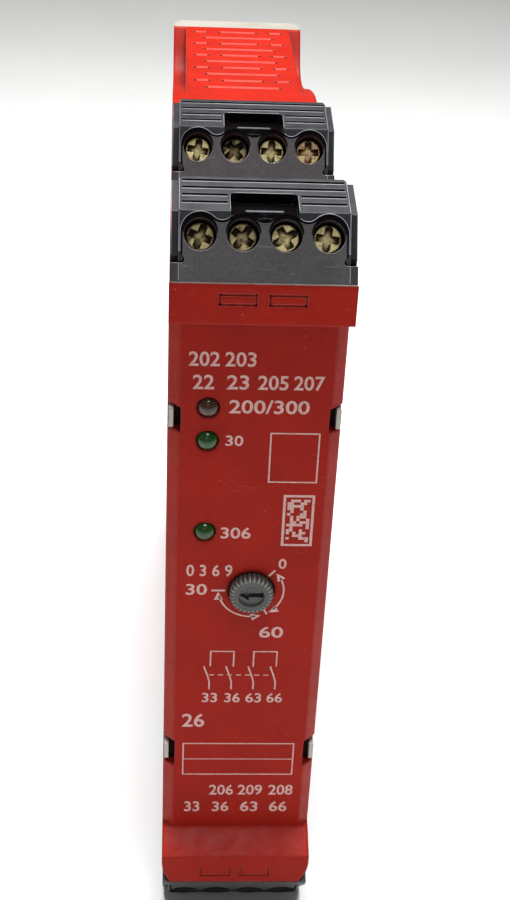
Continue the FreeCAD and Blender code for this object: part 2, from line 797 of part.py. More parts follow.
def plug_body():
    inner = pole_x[-1] + boss_r
    outer = plug_width / 2
    block = envelope(-inner, inner)
    skin_y = cover_skin + skin_clear
    tail_y = ridge_back + cover_tail + skin_clear
    tail_z = ridge_t - tail_thickness - skin_clear
    skin = [(-1, -1), (skin_y, -1), (skin_y, bevel_start - skin_knee_drop - skin_clear),
            (ridge_back + skin_crest_set + skin_clear, tail_z), (tail_y, tail_z),
            (tail_y, ridge_t + 1), (-1, ridge_t + 1)]
    zone = prism_x(skin, -half, half).cut(boss_outline(0, -1, cover_skin + 1))
    block = block.cut(zone)
    block = block.fuse(box(-outer, outer, 0, plug_depth, 0, wing_foot - wing_clear))
    rear = wing_set + wing_depth + wing_clear
    block = block.fuse(box(-outer, outer, rear, plug_depth, 0, ridge_t))
    for side in (-1, 1):
        relief = [(side * x, z) for x, z in toe_outline(split_gap * 0.8)]
        block = block.cut(prism_y(relief, -1.0, skin_y))
    tools = []
    for x in pole_x:
        seat_y = screw_set + head_thickness + head_seat_gap
        tools.append(rod((x, -1, screw_line), (0, 1, 0), hole_r, 1 + seat_y))
        tools.append(rod((x, 0, screw_line), (0, 1, 0), neck_r, cage_front + 0.5))
        tools.append(box(x - cage_half - cage_clear, x + cage_half + cage_clear, cage_front,
                         plug_depth + 1, cage_low() - cage_clear, cage_low() + cage_height + cage_clear))
        contact_half = bar_half + cage_clear
        tools.append(box(x - contact_half, x + contact_half, sleeve_set - cage_clear, plug_depth + 1,
                         pin_line - sleeve_height / 2 - cage_clear, cage_low()))
        tools.append(box(x - entry_width / 2, x + entry_width / 2, entry_set, entry_set + entry_depth,
                         cage_low() + cage_height - 0.5, ridge_t + 1))
        tools.append(entry_funnel(x))
    return cut(block, tools).removeSplitter()


def entry_funnel(x):
    """A bevelled mouth around a wire entry."""
    low = [V(x - entry_width / 2, entry_set, ridge_t - entry_flare),
           V(x + entry_width / 2, entry_set, ridge_t - entry_flare),
           V(x + entry_width / 2, entry_set + entry_depth, ridge_t - entry_flare),
           V(x - entry_width / 2, entry_set + entry_depth, ridge_t - entry_flare)]
    grow = entry_flare + 0.01
    high = [V(p.x + (grow if p.x > x else -grow), p.y + (grow if p.y > entry_set else -grow),
              ridge_t + 0.01) for p in low]
    bottom = Part.makePolygon(low + low[:1])
    top = Part.makePolygon(high + high[:1])
    return Part.makeLoft([bottom, top], True, True)


def cage_low():
    return screw_line - cage_height / 2 + cage_lift


def cages():
    y0 = cage_front + cage_set
    y1 = y0 + cage_top_wall + cage_space + cage_end_wall
    shapes = []
    for x in pole_x:
        cage = box(x - cage_half, x + cage_half, y0, y1, cage_low(), cage_low() + cage_height)
        cage = cage.cut(box(x - cage_half + cage_side, x + cage_half - cage_side, y0 + cage_top_wall,
                            y1 - cage_end_wall, cage_low() - 1, cage_low() + cage_height + 1))
        cage = cage.cut(rod((x, y0 - 1, screw_line), (0, 1, 0), shank_r + shank_clear, cage_top_wall + 2))
        shapes.append(cage)
    return Part.makeCompound(shapes)


def contacts():
    """In each pole a bar through the cage, joined to a sleeve that takes the header's pin."""
    cage_end = cage_front + cage_set + cage_top_wall + cage_space
    bar_y = cage_end - bar_thickness - bar_gap
    sleeve_y = plug_depth - sleeve_end_gap
    low = pin_line - sleeve_height / 2
    shapes = []
    for x in pole_x:
        bar = box(x - bar_half, x + bar_half, bar_y, bar_y + bar_thickness, low,
                  cage_low() + cage_height - bar_top_gap)
        sleeve = box(x - sleeve_half, x + sleeve_half, sleeve_set, sleeve_y, low, low + sleeve_height)
        channel = pin_size / 2 + pin_clear
        bore = box(x - channel, x + channel, pin_tip - 0.2, sleeve_y + 1, pin_line - channel,
                   pin_line + channel)
        shapes.append(bar.fuse(sleeve).cut(bore).removeSplitter())
    return Part.makeCompound(shapes)


def clamp_screw(x, turn):
    """A clamp screw: flat head with a slot and a cross, on a plain shank."""
    body = rod((x, screw_set, screw_line), (0, 1, 0), head_r, head_thickness)
    rim = [edge for edge in body.Edges if isinstance(edge.Curve, Part.Circle)
           and abs(edge.CenterOfMass.y - screw_set) < 0.01]
    body = body.makeChamfer(head_bevel, rim)
    body = body.fuse(rod((x, screw_set, screw_line), (0, 1, 0), shank_r,
                         head_thickness + shank_length))
    slot = box(x - slot_width / 2, x + slot_width / 2, screw_set - 1, screw_set + slot_depth,
               screw_line - head_r - 1, screw_line + head_r + 1)
    cross = fuse([box(x - w / 2, x + w / 2, screw_set - 1, screw_set + cross_depth,
                      screw_line - h / 2, screw_line + h / 2)
                  for w, h in ((cross_width, cross_length), (cross_length, cross_width))])
    body = body.cut(slot).cut(cross)
    body.rotate(V(x, 0, screw_line), V(0, 1, 0), turn)
    return body


# ---- headers
def header_y():
    return pocket_back + wall + header_gap


def pin_path(index, grow):
    """One header pin: straight from the plug, then across to the main board."""
    x = pole_x[index]
    size = pin_size / 2 + grow
    bend = header_y() + pin_first_bend + index * pin_bend_step
    along = box(x - size, x + size, pin_tip, bend + size, pin_line - size, pin_line + size)
    across = box(board_x0 + tail_reach, x + size, bend - size, bend + size, pin_line - size,
                 pin_line + size)
    return along.fuse(across).removeSplitter()


def header_pins():
    return Part.makeCompound([pin_path(i, 0.0) for i in range(poles)])


def header_block():
    y0 = header_y()
    x1 = inner_half - 2 * board_clear
    block = box(board_x1 + board_clear, x1, y0, y0 + header_depth, 0, header_height)
    for i in range(poles):
        block = block.cut(pin_path(i, 0.0))
    return block


# ---- main board and its components
def main_board():
    outline = shell_outline(seam_y - overrun, back_y + overrun)
    sheet = inset_prism(outline, wall + board_edge_gap, board_x0, board_x1)
    y0 = seam_y + frame_tongue + 0.3
    y1 = back_y - spigot - board_edge_gap
    sheet = sheet.common(box(board_x0, board_x1, y0, y1, -lip_half, lip_half))
    liner = scoop(side_wall + board_edge_gap, scoop_inner - side_wall)
    sheet = cut(sheet, four_ways(liner))
    for row in ("front", "rear"):
        for i in range(poles):
            hole = seat(pin_path(i, 0.1), row)
            sheet = sheet.cut(hole).cut(flip(hole))
    solids = sorted(sheet.Solids, key=lambda solid: solid.Volume)
    return solids[-1]


def on_board(size, y, z):
    depth, length, height = size
    return box(board_x1, board_x1 + depth, y - length / 2, y + length / 2, z - height / 2,
               z + height / 2)


def safety_relay(z):
    body = on_board(relay_size, relay_y, z)
    upright = [edge for edge in body.Edges if abs(edge.Vertexes[0].X - edge.Vertexes[1].X) > 1]
    return body.makeFillet(relay_edge_r, upright)


def transformer():
    """An E core pair around a wound bobbin."""
    depth, length, height = transformer_size
    core = on_board((depth, core_thickness * 2, height), transformer_y, transformer_z)
    winding = on_board((depth - 2 * core_lip, length, height - 2 * core_lip), transformer_y,
                       transformer_z)
    winding.translate(V(core_lip, 0, 0))
    feet = on_board((core_lip, length, height), transformer_y, transformer_z)
    return fuse([core, winding, feet])


def capacitors():
    """Two electrolytic capacitors, lying on the board."""
    shapes = []
    for radius, length, z in ((capacitor_r, capacitor_length, capacitor_z),
                              (small_capacitor_r, small_capacitor_length, small_capacitor_z)):
        can = rod((board_x1 + radius, capacitor_y - length / 2, z), (0, 1, 0), radius, length)
        groove = rod((board_x1 + radius, capacitor_y - length / 2 + can_groove_set, z), (0, 1, 0),
                     radius + 1, can_groove_width)
        core = rod((board_x1 + radius, capacitor_y - length / 2, z), (0, 1, 0),
                   radius - can_groove_depth, length)
        shapes.append(can.cut(groove).fuse(core).removeSplitter())
    return Part.makeCompound(shapes)


def controller_chips():
    return Part.makeCompound([on_board(chip_size, chip_y, side * chip_z) for side in (1, -1)])


def board_connector():
    depth, length, height = connector_size
    y0 = front_board_y + board_thickness
    low = connector_z - height / 2
    high = connector_z + height / 2
    nose_y = y0 + connector_nose
    body = box(board_x1, board_x1 + depth, nose_y, y0 + length, low, high)
    nose = box(board_x1 + connector_step, board_x1 + depth - connector_step, y0, nose_y,
               low + connector_step, high - connector_step)
    return body.fuse(nose).removeSplitter()


# ---- rear base, latch and spring
def latch_y():
    return rail_thickness + hook_gap


def rear_base():
    x1 = half - base_side_inset
    upper = [(back_y, panel_half), (back_y + base_top_depth, panel_half),
             (foot_reach, panel_half - base_slope_drop)]
    body = prism_x(upper + [(y, -z) for y, z in reversed(upper)], -x1, x1)
    rear_edges = [edge for edge in body.Edges if edge.CenterOfMass.y > back_y + base_top_depth
                  and abs(edge.CenterOfMass.x) > x1 - 0.01]
    body = body.makeChamfer(base_corner, rear_edges)
    spigot_x = inner_half - spigot_clear
    spigot_z = panel_half - scoop_depth - side_wall - wall - 1.5
    body = body.fuse(box(-spigot_x, spigot_x, back_y - spigot, back_y, -spigot_z, spigot_z))
    recess_top = rail_half + rail_play
    recess_low = -rail_half - recess_below
    reach = half + 1
    seat_half = rail_half - hook_overlap - seat_gap
    body = body.cut(box(-reach, reach, -seat_relief, latch_y(), recess_low, recess_top))
    body = body.cut(box(-reach, reach, 0, foot_reach + 1, recess_low, rail_half - hook_overlap))
    body = body.fuse(box(-x1, x1, -seat_relief, 0, -seat_half, seat_half))
    hook_y = latch_y() + hook_thickness
    body = body.cut(prism_x([(hook_y, rail_half - hook_overlap - 1), (hook_y, rail_half - hook_overlap),
                             (foot_reach + 1, recess_top + hook_lead), (foot_reach + 1, 0)], -reach, reach))
    channel = latch_half_width + latch_gap
    body = body.cut(box(-channel, channel, latch_y() - latch_gap, latch_y() + latch_thickness + latch_gap,
                        -panel_half - 1, recess_low + 1))
    peg_top = latch_window_top + latch_window_height - peg_free
    peg_half = latch_window_half - peg_clear
    body = body.fuse(box(-peg_half, peg_half, latch_y() - latch_gap - 0.1,
                         latch_y() + latch_thickness + latch_gap + 0.1, -peg_top, -peg_top + peg_height))
    low = recess_top + pocket_wall + hook_lead - 0.3
    high = panel_half - base_slope_drop - pocket_wall
    middle = (low + high) / 2
    for z0, z1 in ((low, middle - pocket_web_half), (middle + pocket_web_half, high)):
        body = body.cut(box(-x1 + pocket_wall, x1 - pocket_wall, back_y + base_floor, foot_reach + 1,
                            z0, z1))
    return body.removeSplitter()


def din_latch():
    y0 = latch_y()
    top = -rail_half + hook_overlap
    foot = -panel_half - latch_tail
    nose = prism_x([(y0, top), (y0, foot), (y0 + latch_thickness, foot),
                    (y0 + latch_thickness, top - nose_bevel - 1.0), (y0 + latch_thickness - nose_bevel, top)],
                   -latch_half_width, latch_half_width)
    window = box(-latch_window_half, latch_window_half, y0 - 1, y0 + latch_thickness + 1,
                 -latch_window_top - latch_window_height, -latch_window_top)
    slot_z = foot + pull_slot_low
    pull = box(-pull_slot_half, pull_slot_half, y0 - 1, y0 + latch_thickness + 1,
               slot_z, slot_z + pull_slot_height)
    return nose.cut(window).cut(pull)


def spring_ends():
    top = -latch_window_top - spring_seat
    bottom = -(latch_window_top + latch_window_height - peg_free) + peg_height + spring_seat
    return (bottom, top)


def latch_spring():
    bottom, top = spring_ends()
    length = top - bottom - 2 * spring_wire_r
    helix = Part.makeHelix(length / spring_turns, length, spring_r)
    circle = Part.Wire([Part.makeCircle(spring_wire_r, V(spring_r, 0, 0), V(0, 1, 0))])
    coil = Part.Wire(helix.Edges).makePipeShell([circle], True, True)
    coil.translate(V(0, latch_y() + latch_thickness / 2, bottom + spring_wire_r))
    return coil


def build():
    """Every sub-part of the device by its node name."""
    nodes = {"housing_shell": housing_shell(), "front_cover": front_cover(), "front_frame": front_frame(),
             "front_board": front_board(), "selector_knob": selector_knob(),
             "selector_switch": selector_switch(), "main_board": main_board(),
             "safety_relay_a": safety_relay(relay_z), "safety_relay_b": safety_relay(-relay_z),
             "transformer": transformer(), "capacitors": capacitors(),
             "controller_chips": controller_chips(), "board_connector": board_connector(),
             "rear_base": rear_base(), "rail_latch": din_latch(), "latch_spring": latch_spring()}
    for name, z in zip(lamp_names, lamp_heights):
        nodes[name] = lamp(z)
    shared = {"body": plug_body(), "cover": plug_cover(), "cages": cages(), "contacts": contacts()}
    turns = {"front": (20, 35, 60, 8), "rear": (10, 50, 3, 0)}
    for row in ("front", "rear"):
        pieces = {"plug_%s_" + key: shape for key, shape in shared.items()}
        for i in range(poles):
            pieces["plug_%s_screw_" + str(i + 1)] = clamp_screw(pole_x[i], turns[row][i])
        pieces["header_%s"] = header_block()
        pieces["header_%s_pins"] = header_pins()
        for key, shape in pieces.items():
            placed = seat(shape, row)
            nodes[key % ("upper_" + row)] = placed
            nodes[key % ("lower_" + row)] = flip(placed)
    return nodes


os.makedirs("parts", exist_ok=True)
for name, shape in build().items():
    shape.exportStep("parts/" + name + ".step")
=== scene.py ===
"""Looks of the safety relay: materials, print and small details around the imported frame."""
import json
import math
import random

import bmesh
import bpy
from mathutils import Matrix, Vector


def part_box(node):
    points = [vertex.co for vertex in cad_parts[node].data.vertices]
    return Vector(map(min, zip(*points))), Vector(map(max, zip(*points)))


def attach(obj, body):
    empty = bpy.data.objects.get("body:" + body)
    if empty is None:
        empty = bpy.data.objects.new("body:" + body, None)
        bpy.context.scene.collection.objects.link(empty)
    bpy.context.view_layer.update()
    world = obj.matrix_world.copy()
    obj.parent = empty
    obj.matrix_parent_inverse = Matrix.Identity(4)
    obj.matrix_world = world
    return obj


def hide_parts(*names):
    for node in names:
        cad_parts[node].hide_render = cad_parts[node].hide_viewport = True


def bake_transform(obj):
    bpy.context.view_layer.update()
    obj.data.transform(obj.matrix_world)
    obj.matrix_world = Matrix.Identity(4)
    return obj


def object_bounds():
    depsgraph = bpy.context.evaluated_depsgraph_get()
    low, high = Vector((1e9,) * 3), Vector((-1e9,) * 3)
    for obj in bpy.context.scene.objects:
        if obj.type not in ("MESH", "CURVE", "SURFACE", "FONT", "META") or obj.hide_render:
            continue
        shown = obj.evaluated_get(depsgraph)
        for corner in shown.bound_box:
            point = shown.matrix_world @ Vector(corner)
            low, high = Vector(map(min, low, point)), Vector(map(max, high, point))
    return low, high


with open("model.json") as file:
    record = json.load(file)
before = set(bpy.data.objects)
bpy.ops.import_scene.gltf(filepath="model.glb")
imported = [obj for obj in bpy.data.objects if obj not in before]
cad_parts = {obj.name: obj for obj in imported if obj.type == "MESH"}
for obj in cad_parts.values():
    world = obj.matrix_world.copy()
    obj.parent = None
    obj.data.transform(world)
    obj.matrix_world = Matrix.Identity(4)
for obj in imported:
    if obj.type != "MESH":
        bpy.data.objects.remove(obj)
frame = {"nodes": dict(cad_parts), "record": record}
cad_box = [list(corner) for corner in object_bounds()]
nodes = frame["nodes"]
MM = 0.001

# Places on the device, in millimetres: x across, y to the back, z up, face at the front.
FACE_Y = -102.8
PANEL_Z = 51.0               # top panel; the bottom panel mirrors it
SHELL_BACK = -2.7
PLUG_TOP = 59.57             # ridge of the front plugs
FLOOR_Z = cad_box[0][2] / MM


# ---- material graphs
SPREAD = (0.3, 0.7)          # where most values of a noise lie
FLAT, SHARP = 0.995, 0.80    # cosine between true and softened normal
MIX_SHARE, MIX_A, MIX_B, MIX_COLOUR = 0, 6, 7, 2     # colour sockets of a Mix node


class Graph:
    """A material's nodes, one short call each. Sizes are in millimetres on the object."""

    def __init__(self, name):
        self.material = bpy.data.materials.new(name)
        self.material.use_nodes = True
        self.tree = self.material.node_tree
        self.tree.nodes.clear()
        self.place = self.node("ShaderNodeTexCoord").outputs["Object"]

    def node(self, kind, **settings):
        made = self.tree.nodes.new(kind)
        for key, value in settings.items():
            setattr(made, key, value)
        return made

    def feed(self, socket, value):
        if isinstance(value, bpy.types.NodeSocket):
            self.tree.links.new(value, socket)
        else:
            socket.default_value = value

    def noise(self, size, detail=3.0, stretch=(1, 1, 1), shift=0.0, turn=(0, 0, 0)):
        mapping = self.node("ShaderNodeMapping")
        self.feed(mapping.inputs["Vector"], self.place)
        mapping.inputs["Scale"].default_value = stretch
        mapping.inputs["Location"].default_value = (shift, shift, shift)
        mapping.inputs["Rotation"].default_value = [math.radians(angle) for angle in turn]
        made = self.node("ShaderNodeTexNoise")
        self.feed(made.inputs["Vector"], mapping.outputs["Vector"])
        made.inputs["Scale"].default_value = 1 / (size * MM)
        made.inputs["Detail"].default_value = detail
        return made.outputs["Fac"]

    def cells(self, size):
        """Distance to the nearest of many scattered points."""
        made = self.node("ShaderNodeTexVoronoi", feature="F1")
        self.feed(made.inputs["Vector"], self.place)
        made.inputs["Scale"].default_value = 1 / (size * MM)
        return made.outputs["Distance"]

    def along(self, axis):
        """The place along one axis, in metres."""
        split = self.node("ShaderNodeSeparateXYZ")
        self.feed(split.inputs[0], self.place)
        return split.outputs[axis]

    def ramp(self, value, low, high, start=0.0, end=1.0):
        made = self.node("ShaderNodeMapRange", clamp=True)
        self.feed(made.inputs["Value"], value)
        made.inputs["From Min"].default_value = low
        made.inputs["From Max"].default_value = high
        made.inputs["To Min"].default_value = start
        made.inputs["To Max"].default_value = end
        return made.outputs["Result"]

    def calc(self, operation, a, b=0.0):
        made = self.node("ShaderNodeMath", operation=operation, use_clamp=True)
        self.feed(made.inputs[0], a)
        self.feed(made.inputs[1], b)
        return made.outputs[0]

    def times(self, a, b):
        return self.calc("MULTIPLY", a, b)

    def mix(self, share, a, b):
        made = self.node("ShaderNodeMix", data_type="RGBA")
        self.feed(made.inputs[MIX_SHARE], share)
        self.feed(made.inputs[MIX_A], a if isinstance(a, bpy.types.NodeSocket) else (*a, 1))
        self.feed(made.inputs[MIX_B], b if isinstance(b, bpy.types.NodeSocket) else (*b, 1))
        return made.outputs[MIX_COLOUR]

    def soft_normal(self, radius):
        made = self.node("ShaderNodeBevel", samples=6)
        made.inputs["Radius"].default_value = radius * MM
        return made.outputs["Normal"]

    def edges(self, radius):
        """1 on sharp edges, 0 on flat faces."""
        dot = self.node("ShaderNodeVectorMath", operation="DOT_PRODUCT")
        self.feed(dot.inputs[0], self.soft_normal(radius))
        self.feed(dot.inputs[1], self.node("ShaderNodeNewGeometry").outputs["Normal"])
        return self.ramp(dot.outputs["Value"], FLAT, SHARP)

    def hollows(self, reach, open_at=0.95, full_at=0.35):
        """1 deep in recesses, 0 in the open, from ambient occlusion; the mask of painted shade and
        grime in hollows.
        """
        made = self.node("ShaderNodeAmbientOcclusion", samples=8)
        made.inputs["Distance"].default_value = reach * MM
        return self.ramp(made.outputs["AO"], open_at, full_at)

    def bump(self, height, depth, normal, strength):
        made = self.node("ShaderNodeBump")
        made.inputs["Strength"].default_value = strength
        made.inputs["Distance"].default_value = depth * MM
        self.feed(made.inputs["Height"], height)
        self.feed(made.inputs["Normal"], normal)
        return made.outputs["Normal"]

    def finish(self, **sockets):
        shader = self.node("ShaderNodeBsdfPrincipled")
        for name, value in sockets.items():
            self.feed(shader.inputs[name.replace("_", " ")], value)
        output = self.node("ShaderNodeOutputMaterial")
        self.tree.links.new(shader.outputs[0], output.inputs["Surface"])
        return self.material


def shade(colour, factor):
    return tuple(min(1.0, c * factor) for c in colour)


def plastic(name, colour, rough=0.45, grain=0.25, grain_depth=0.012, soft=0.15, mottle=0.08,
            wear_and_highlight=None, wear_and_highlight_share=0.5, grime_and_shade=None, grime_and_shade_share=0.5, grime_and_shade_reach=1.2,
            scuffs=0.0, specks=0.0, specular=0.5, flank_shade_beyond=None, fine=0.0):
    """Moulded plastic: fine grain, slightly uneven colour, pale edges of wear and painted
    highlight, grime and painted shade in hollows.

    fine adds small dark flecks. Past the given flank distance from the middle plane, in
    millimetres, painted shade darkens the sides.
    """
    g = Graph(name)
    tone = g.mix(g.ramp(g.noise(7.0, 4.0), *SPREAD),
                 shade(colour, 1 - mottle), shade(colour, 1 + mottle))
    if fine:
        flecks = g.ramp(g.noise(0.4, shift=11.0), 0.35, 0.7, 0.0, fine)
        tone = g.mix(flecks, tone, shade(colour, 0.45))
    roughness = g.ramp(g.noise(2.5, 5.0, shift=3.0), *SPREAD, rough - 0.07, rough + 0.09)
    # painted shade and grime: darker in hollows by ambient occlusion, in patches
    if grime_and_shade:
        patches = g.ramp(g.noise(1.1, 4.0), 0.25, 0.65, 0.4, 1.0)
        share = g.times(g.hollows(grime_and_shade_reach), patches)
        tone = g.mix(g.times(share, grime_and_shade_share), tone, grime_and_shade)
    if scuffs:
        lines = g.noise(0.5, 6.0, stretch=(0.10, 1.3, 1.0), turn=(0, 25, 8))
        lines = g.ramp(lines, 0.66, 0.74, 0.0, scuffs)
        tone = g.mix(lines, tone, wear_and_highlight or shade(colour, 2.0))
        roughness = g.calc("ADD", roughness, g.times(lines, 0.3))
    if specks:
        dots = g.ramp(g.cells(1.7), 0.10, 0.04)
        dots = g.times(dots, g.ramp(g.noise(4.0, 2.0, shift=9.0), 0.5, 0.6))
        tone = g.mix(g.times(dots, specks), tone, wear_and_highlight or (0.8, 0.8, 0.78))
    # pale edges: partly wear, partly painted highlight
    if wear_and_highlight:
        patches = g.ramp(g.noise(0.8, 5.0, shift=5.0), 0.35, 0.7, 0.25, 1.0)
        share = g.times(g.edges(min(soft * 1.2, 0.2)), patches)
        tone = g.mix(g.times(share, wear_and_highlight_share), tone, wear_and_highlight)
    # painted shade: the sides beyond the flank distance are darkened
    if flank_shade_beyond:
        outward = g.calc("ABSOLUTE", g.along("X"))
        flank = g.ramp(outward, (flank_shade_beyond - 0.03) * MM, (flank_shade_beyond + 0.03) * MM, 0.0, 0.7)
        tone = g.mix(flank, tone, shade(colour, 0.15))
    normal = g.bump(g.noise(grain, 2.0), grain_depth, g.soft_normal(soft), 0.6)
    return g.finish(Base_Color=tone, Roughness=roughness, Normal=normal,
                    Specular_IOR_Level=specular)


def metal(name, colour, rough, dark, dark_share, brushed, dark_reach=1.0,
          dark_open=0.95, dark_full=0.35, stain=None, stain_share=0.0):
    """Plated metal with brushed grain, dirt and painted shade in its hollows, and stains."""
    g = Graph(name)
    tone = g.mix(g.ramp(g.noise(0.9, 4.0), *SPREAD), shade(colour, 0.78), shade(colour, 1.15))
    streaks = g.noise(0.12, stretch=brushed)
    roughness = g.ramp(streaks, *SPREAD, rough - 0.08, rough + 0.14)
    if stain:
        blots = g.ramp(g.noise(0.7, 6.0, shift=2.0), 0.5, 0.62, 0.0, stain_share)
        tone = g.mix(blots, tone, stain)
    # dirt and painted shade: darker in hollows by ambient occlusion
    dirt_and_shade = g.times(g.hollows(dark_reach, dark_open, dark_full), dark_share)
    dirt_and_shade = g.times(dirt_and_shade, g.ramp(g.noise(0.5, 5.0, shift=7.0), 0.2, 0.6, 0.75, 1.0))
    tone = g.mix(dirt_and_shade, tone, dark)
    roughness = g.calc("ADD", roughness, g.times(dirt_and_shade, 0.35))
    shine = g.calc("SUBTRACT", 1.0, g.times(dirt_and_shade, 0.6))
    normal = g.bump(streaks, 0.012, g.soft_normal(0.06), 0.5)
    return g.finish(Base_Color=tone, Roughness=roughness, Normal=normal, Metallic=shine)


def screw_metal(name, colour, rough, dark, dark_reach, stain, stain_share,
                brushed=(1, 1, 0.25), dark_open=0.88, dark_full=0.66):
    """Metal of a clamp screw: a slot darkened by dirt and painted shade, and a stain of its own.
    """
    return metal(name, colour, rough, dark, 1.0, brushed, dark_reach=dark_reach,
                 dark_open=dark_open, dark_full=dark_full, stain=stain, stain_share=stain_share)


def lamp_resin(name, colour, rim_sheen):
    """Tinted lamp body: painted shade in its hollows, a painted pale sheen towards its rim, clear
    gloss outside.
    """
    g = Graph(name)
    layer = g.node("ShaderNodeLayerWeight")
    layer.inputs["Blend"].default_value = 0.35
    tone = g.mix(g.ramp(g.noise(1.2), *SPREAD), shade(colour, 0.7), shade(colour, 1.3))
    # painted sheen: paler where the surface turns away from view
    tone = g.mix(g.times(layer.outputs["Facing"], 0.12), tone, rim_sheen)
    # painted shade: darker in hollows
    tone = g.mix(g.times(g.hollows(0.8), 0.5), tone, shade(colour, 0.25))
    roughness = g.ramp(g.noise(0.6), *SPREAD, 0.12, 0.24)
    normal = g.bump(g.noise(0.4, 2.0), 0.01, g.soft_normal(0.1), 0.4)
    return g.finish(Base_Color=tone, Roughness=roughness, Normal=normal, Specular_IOR_Level=0.3,
                    Coat_Weight=0.4, Coat_Roughness=0.08,
                    Subsurface_Weight=0.15, Subsurface_Scale=0.001)


def circuit_board(name):
    """Green solder mask over copper tracks, with a woven edge."""
    g = Graph(name)
    tracks = g.node("ShaderNodeTexBrick", offset=0.5)
    g.feed(tracks.inputs["Vector"], g.place)
    tracks.inputs["Scale"].default_value = 160.0
    tracks.inputs["Mortar Size"].default_value = 0.09
    tone = g.mix(tracks.outputs["Fac"], (0.02, 0.13, 0.045), (0.035, 0.23, 0.09))
    tone = g.mix(g.ramp(g.noise(3.0, 4.0), 0.35, 0.65, 0.0, 0.5), tone, (0.02, 0.10, 0.04))
    tone = g.mix(g.times(g.edges(0.15), 0.8), tone, (0.42, 0.36, 0.18))
    height = g.calc("ADD", g.times(tracks.outputs["Fac"], 0.5), g.times(g.noise(0.3), 0.3))
    normal = g.bump(height, 0.03, g.soft_normal(0.08), 0.7)
    roughness = g.ramp(g.noise(1.5), *SPREAD, 0.28, 0.42)
    return g.finish(Base_Color=tone, Roughness=roughness, Normal=normal)


def print_ink(name, colour, under):
    """Screen-printed ink: almost flat, with thin spots where the colour under it shows."""
    g = Graph(name)
    thin = g.ramp(g.noise(0.35, 5.0), 0.36, 0.52, 0.42, 0.0)
    tone = g.mix(thin, colour, under)
    tone = g.mix(g.ramp(g.noise(3.0), 0.35, 0.7, 0.0, 0.25), tone, shade(colour, 0.75))
    normal = g.bump(g.noise(0.2), 0.006, g.soft_normal(0.03), 0.5)
    roughness = g.ramp(g.noise(0.8), *SPREAD, 0.5, 0.65)
    return g.finish(Base_Color=tone, Roughness=roughness, Normal=normal)


def floor_paint():
    """Pale grey, with painted shade that darkens it far behind the device."""
    g = Graph("floor_paint")
    tone = g.mix(g.ramp(g.noise(90.0, 2.0), *SPREAD), (0.80, 0.80, 0.80), (0.86, 0.86, 0.86))
    # painted shade: darker far behind, where less light falls
    tone = g.mix(g.ramp(g.along("Y"), 0.12, 0.45), tone, (0.36, 0.36, 0.345))
    return g.finish(Base_Color=tone, Roughness=g.ramp(g.noise(30.0), *SPREAD, 0.5, 0.6))


# ---- materials by slot, and those of added pieces
RED = (0.38, 0.0125, 0.0045)
RED_PALE = (0.72, 0.16, 0.12)
SOOT_AND_SHADE = (0.035, 0.012, 0.01)
BRASS = (0.92, 0.74, 0.38)
BROWN = (0.045, 0.022, 0.006)

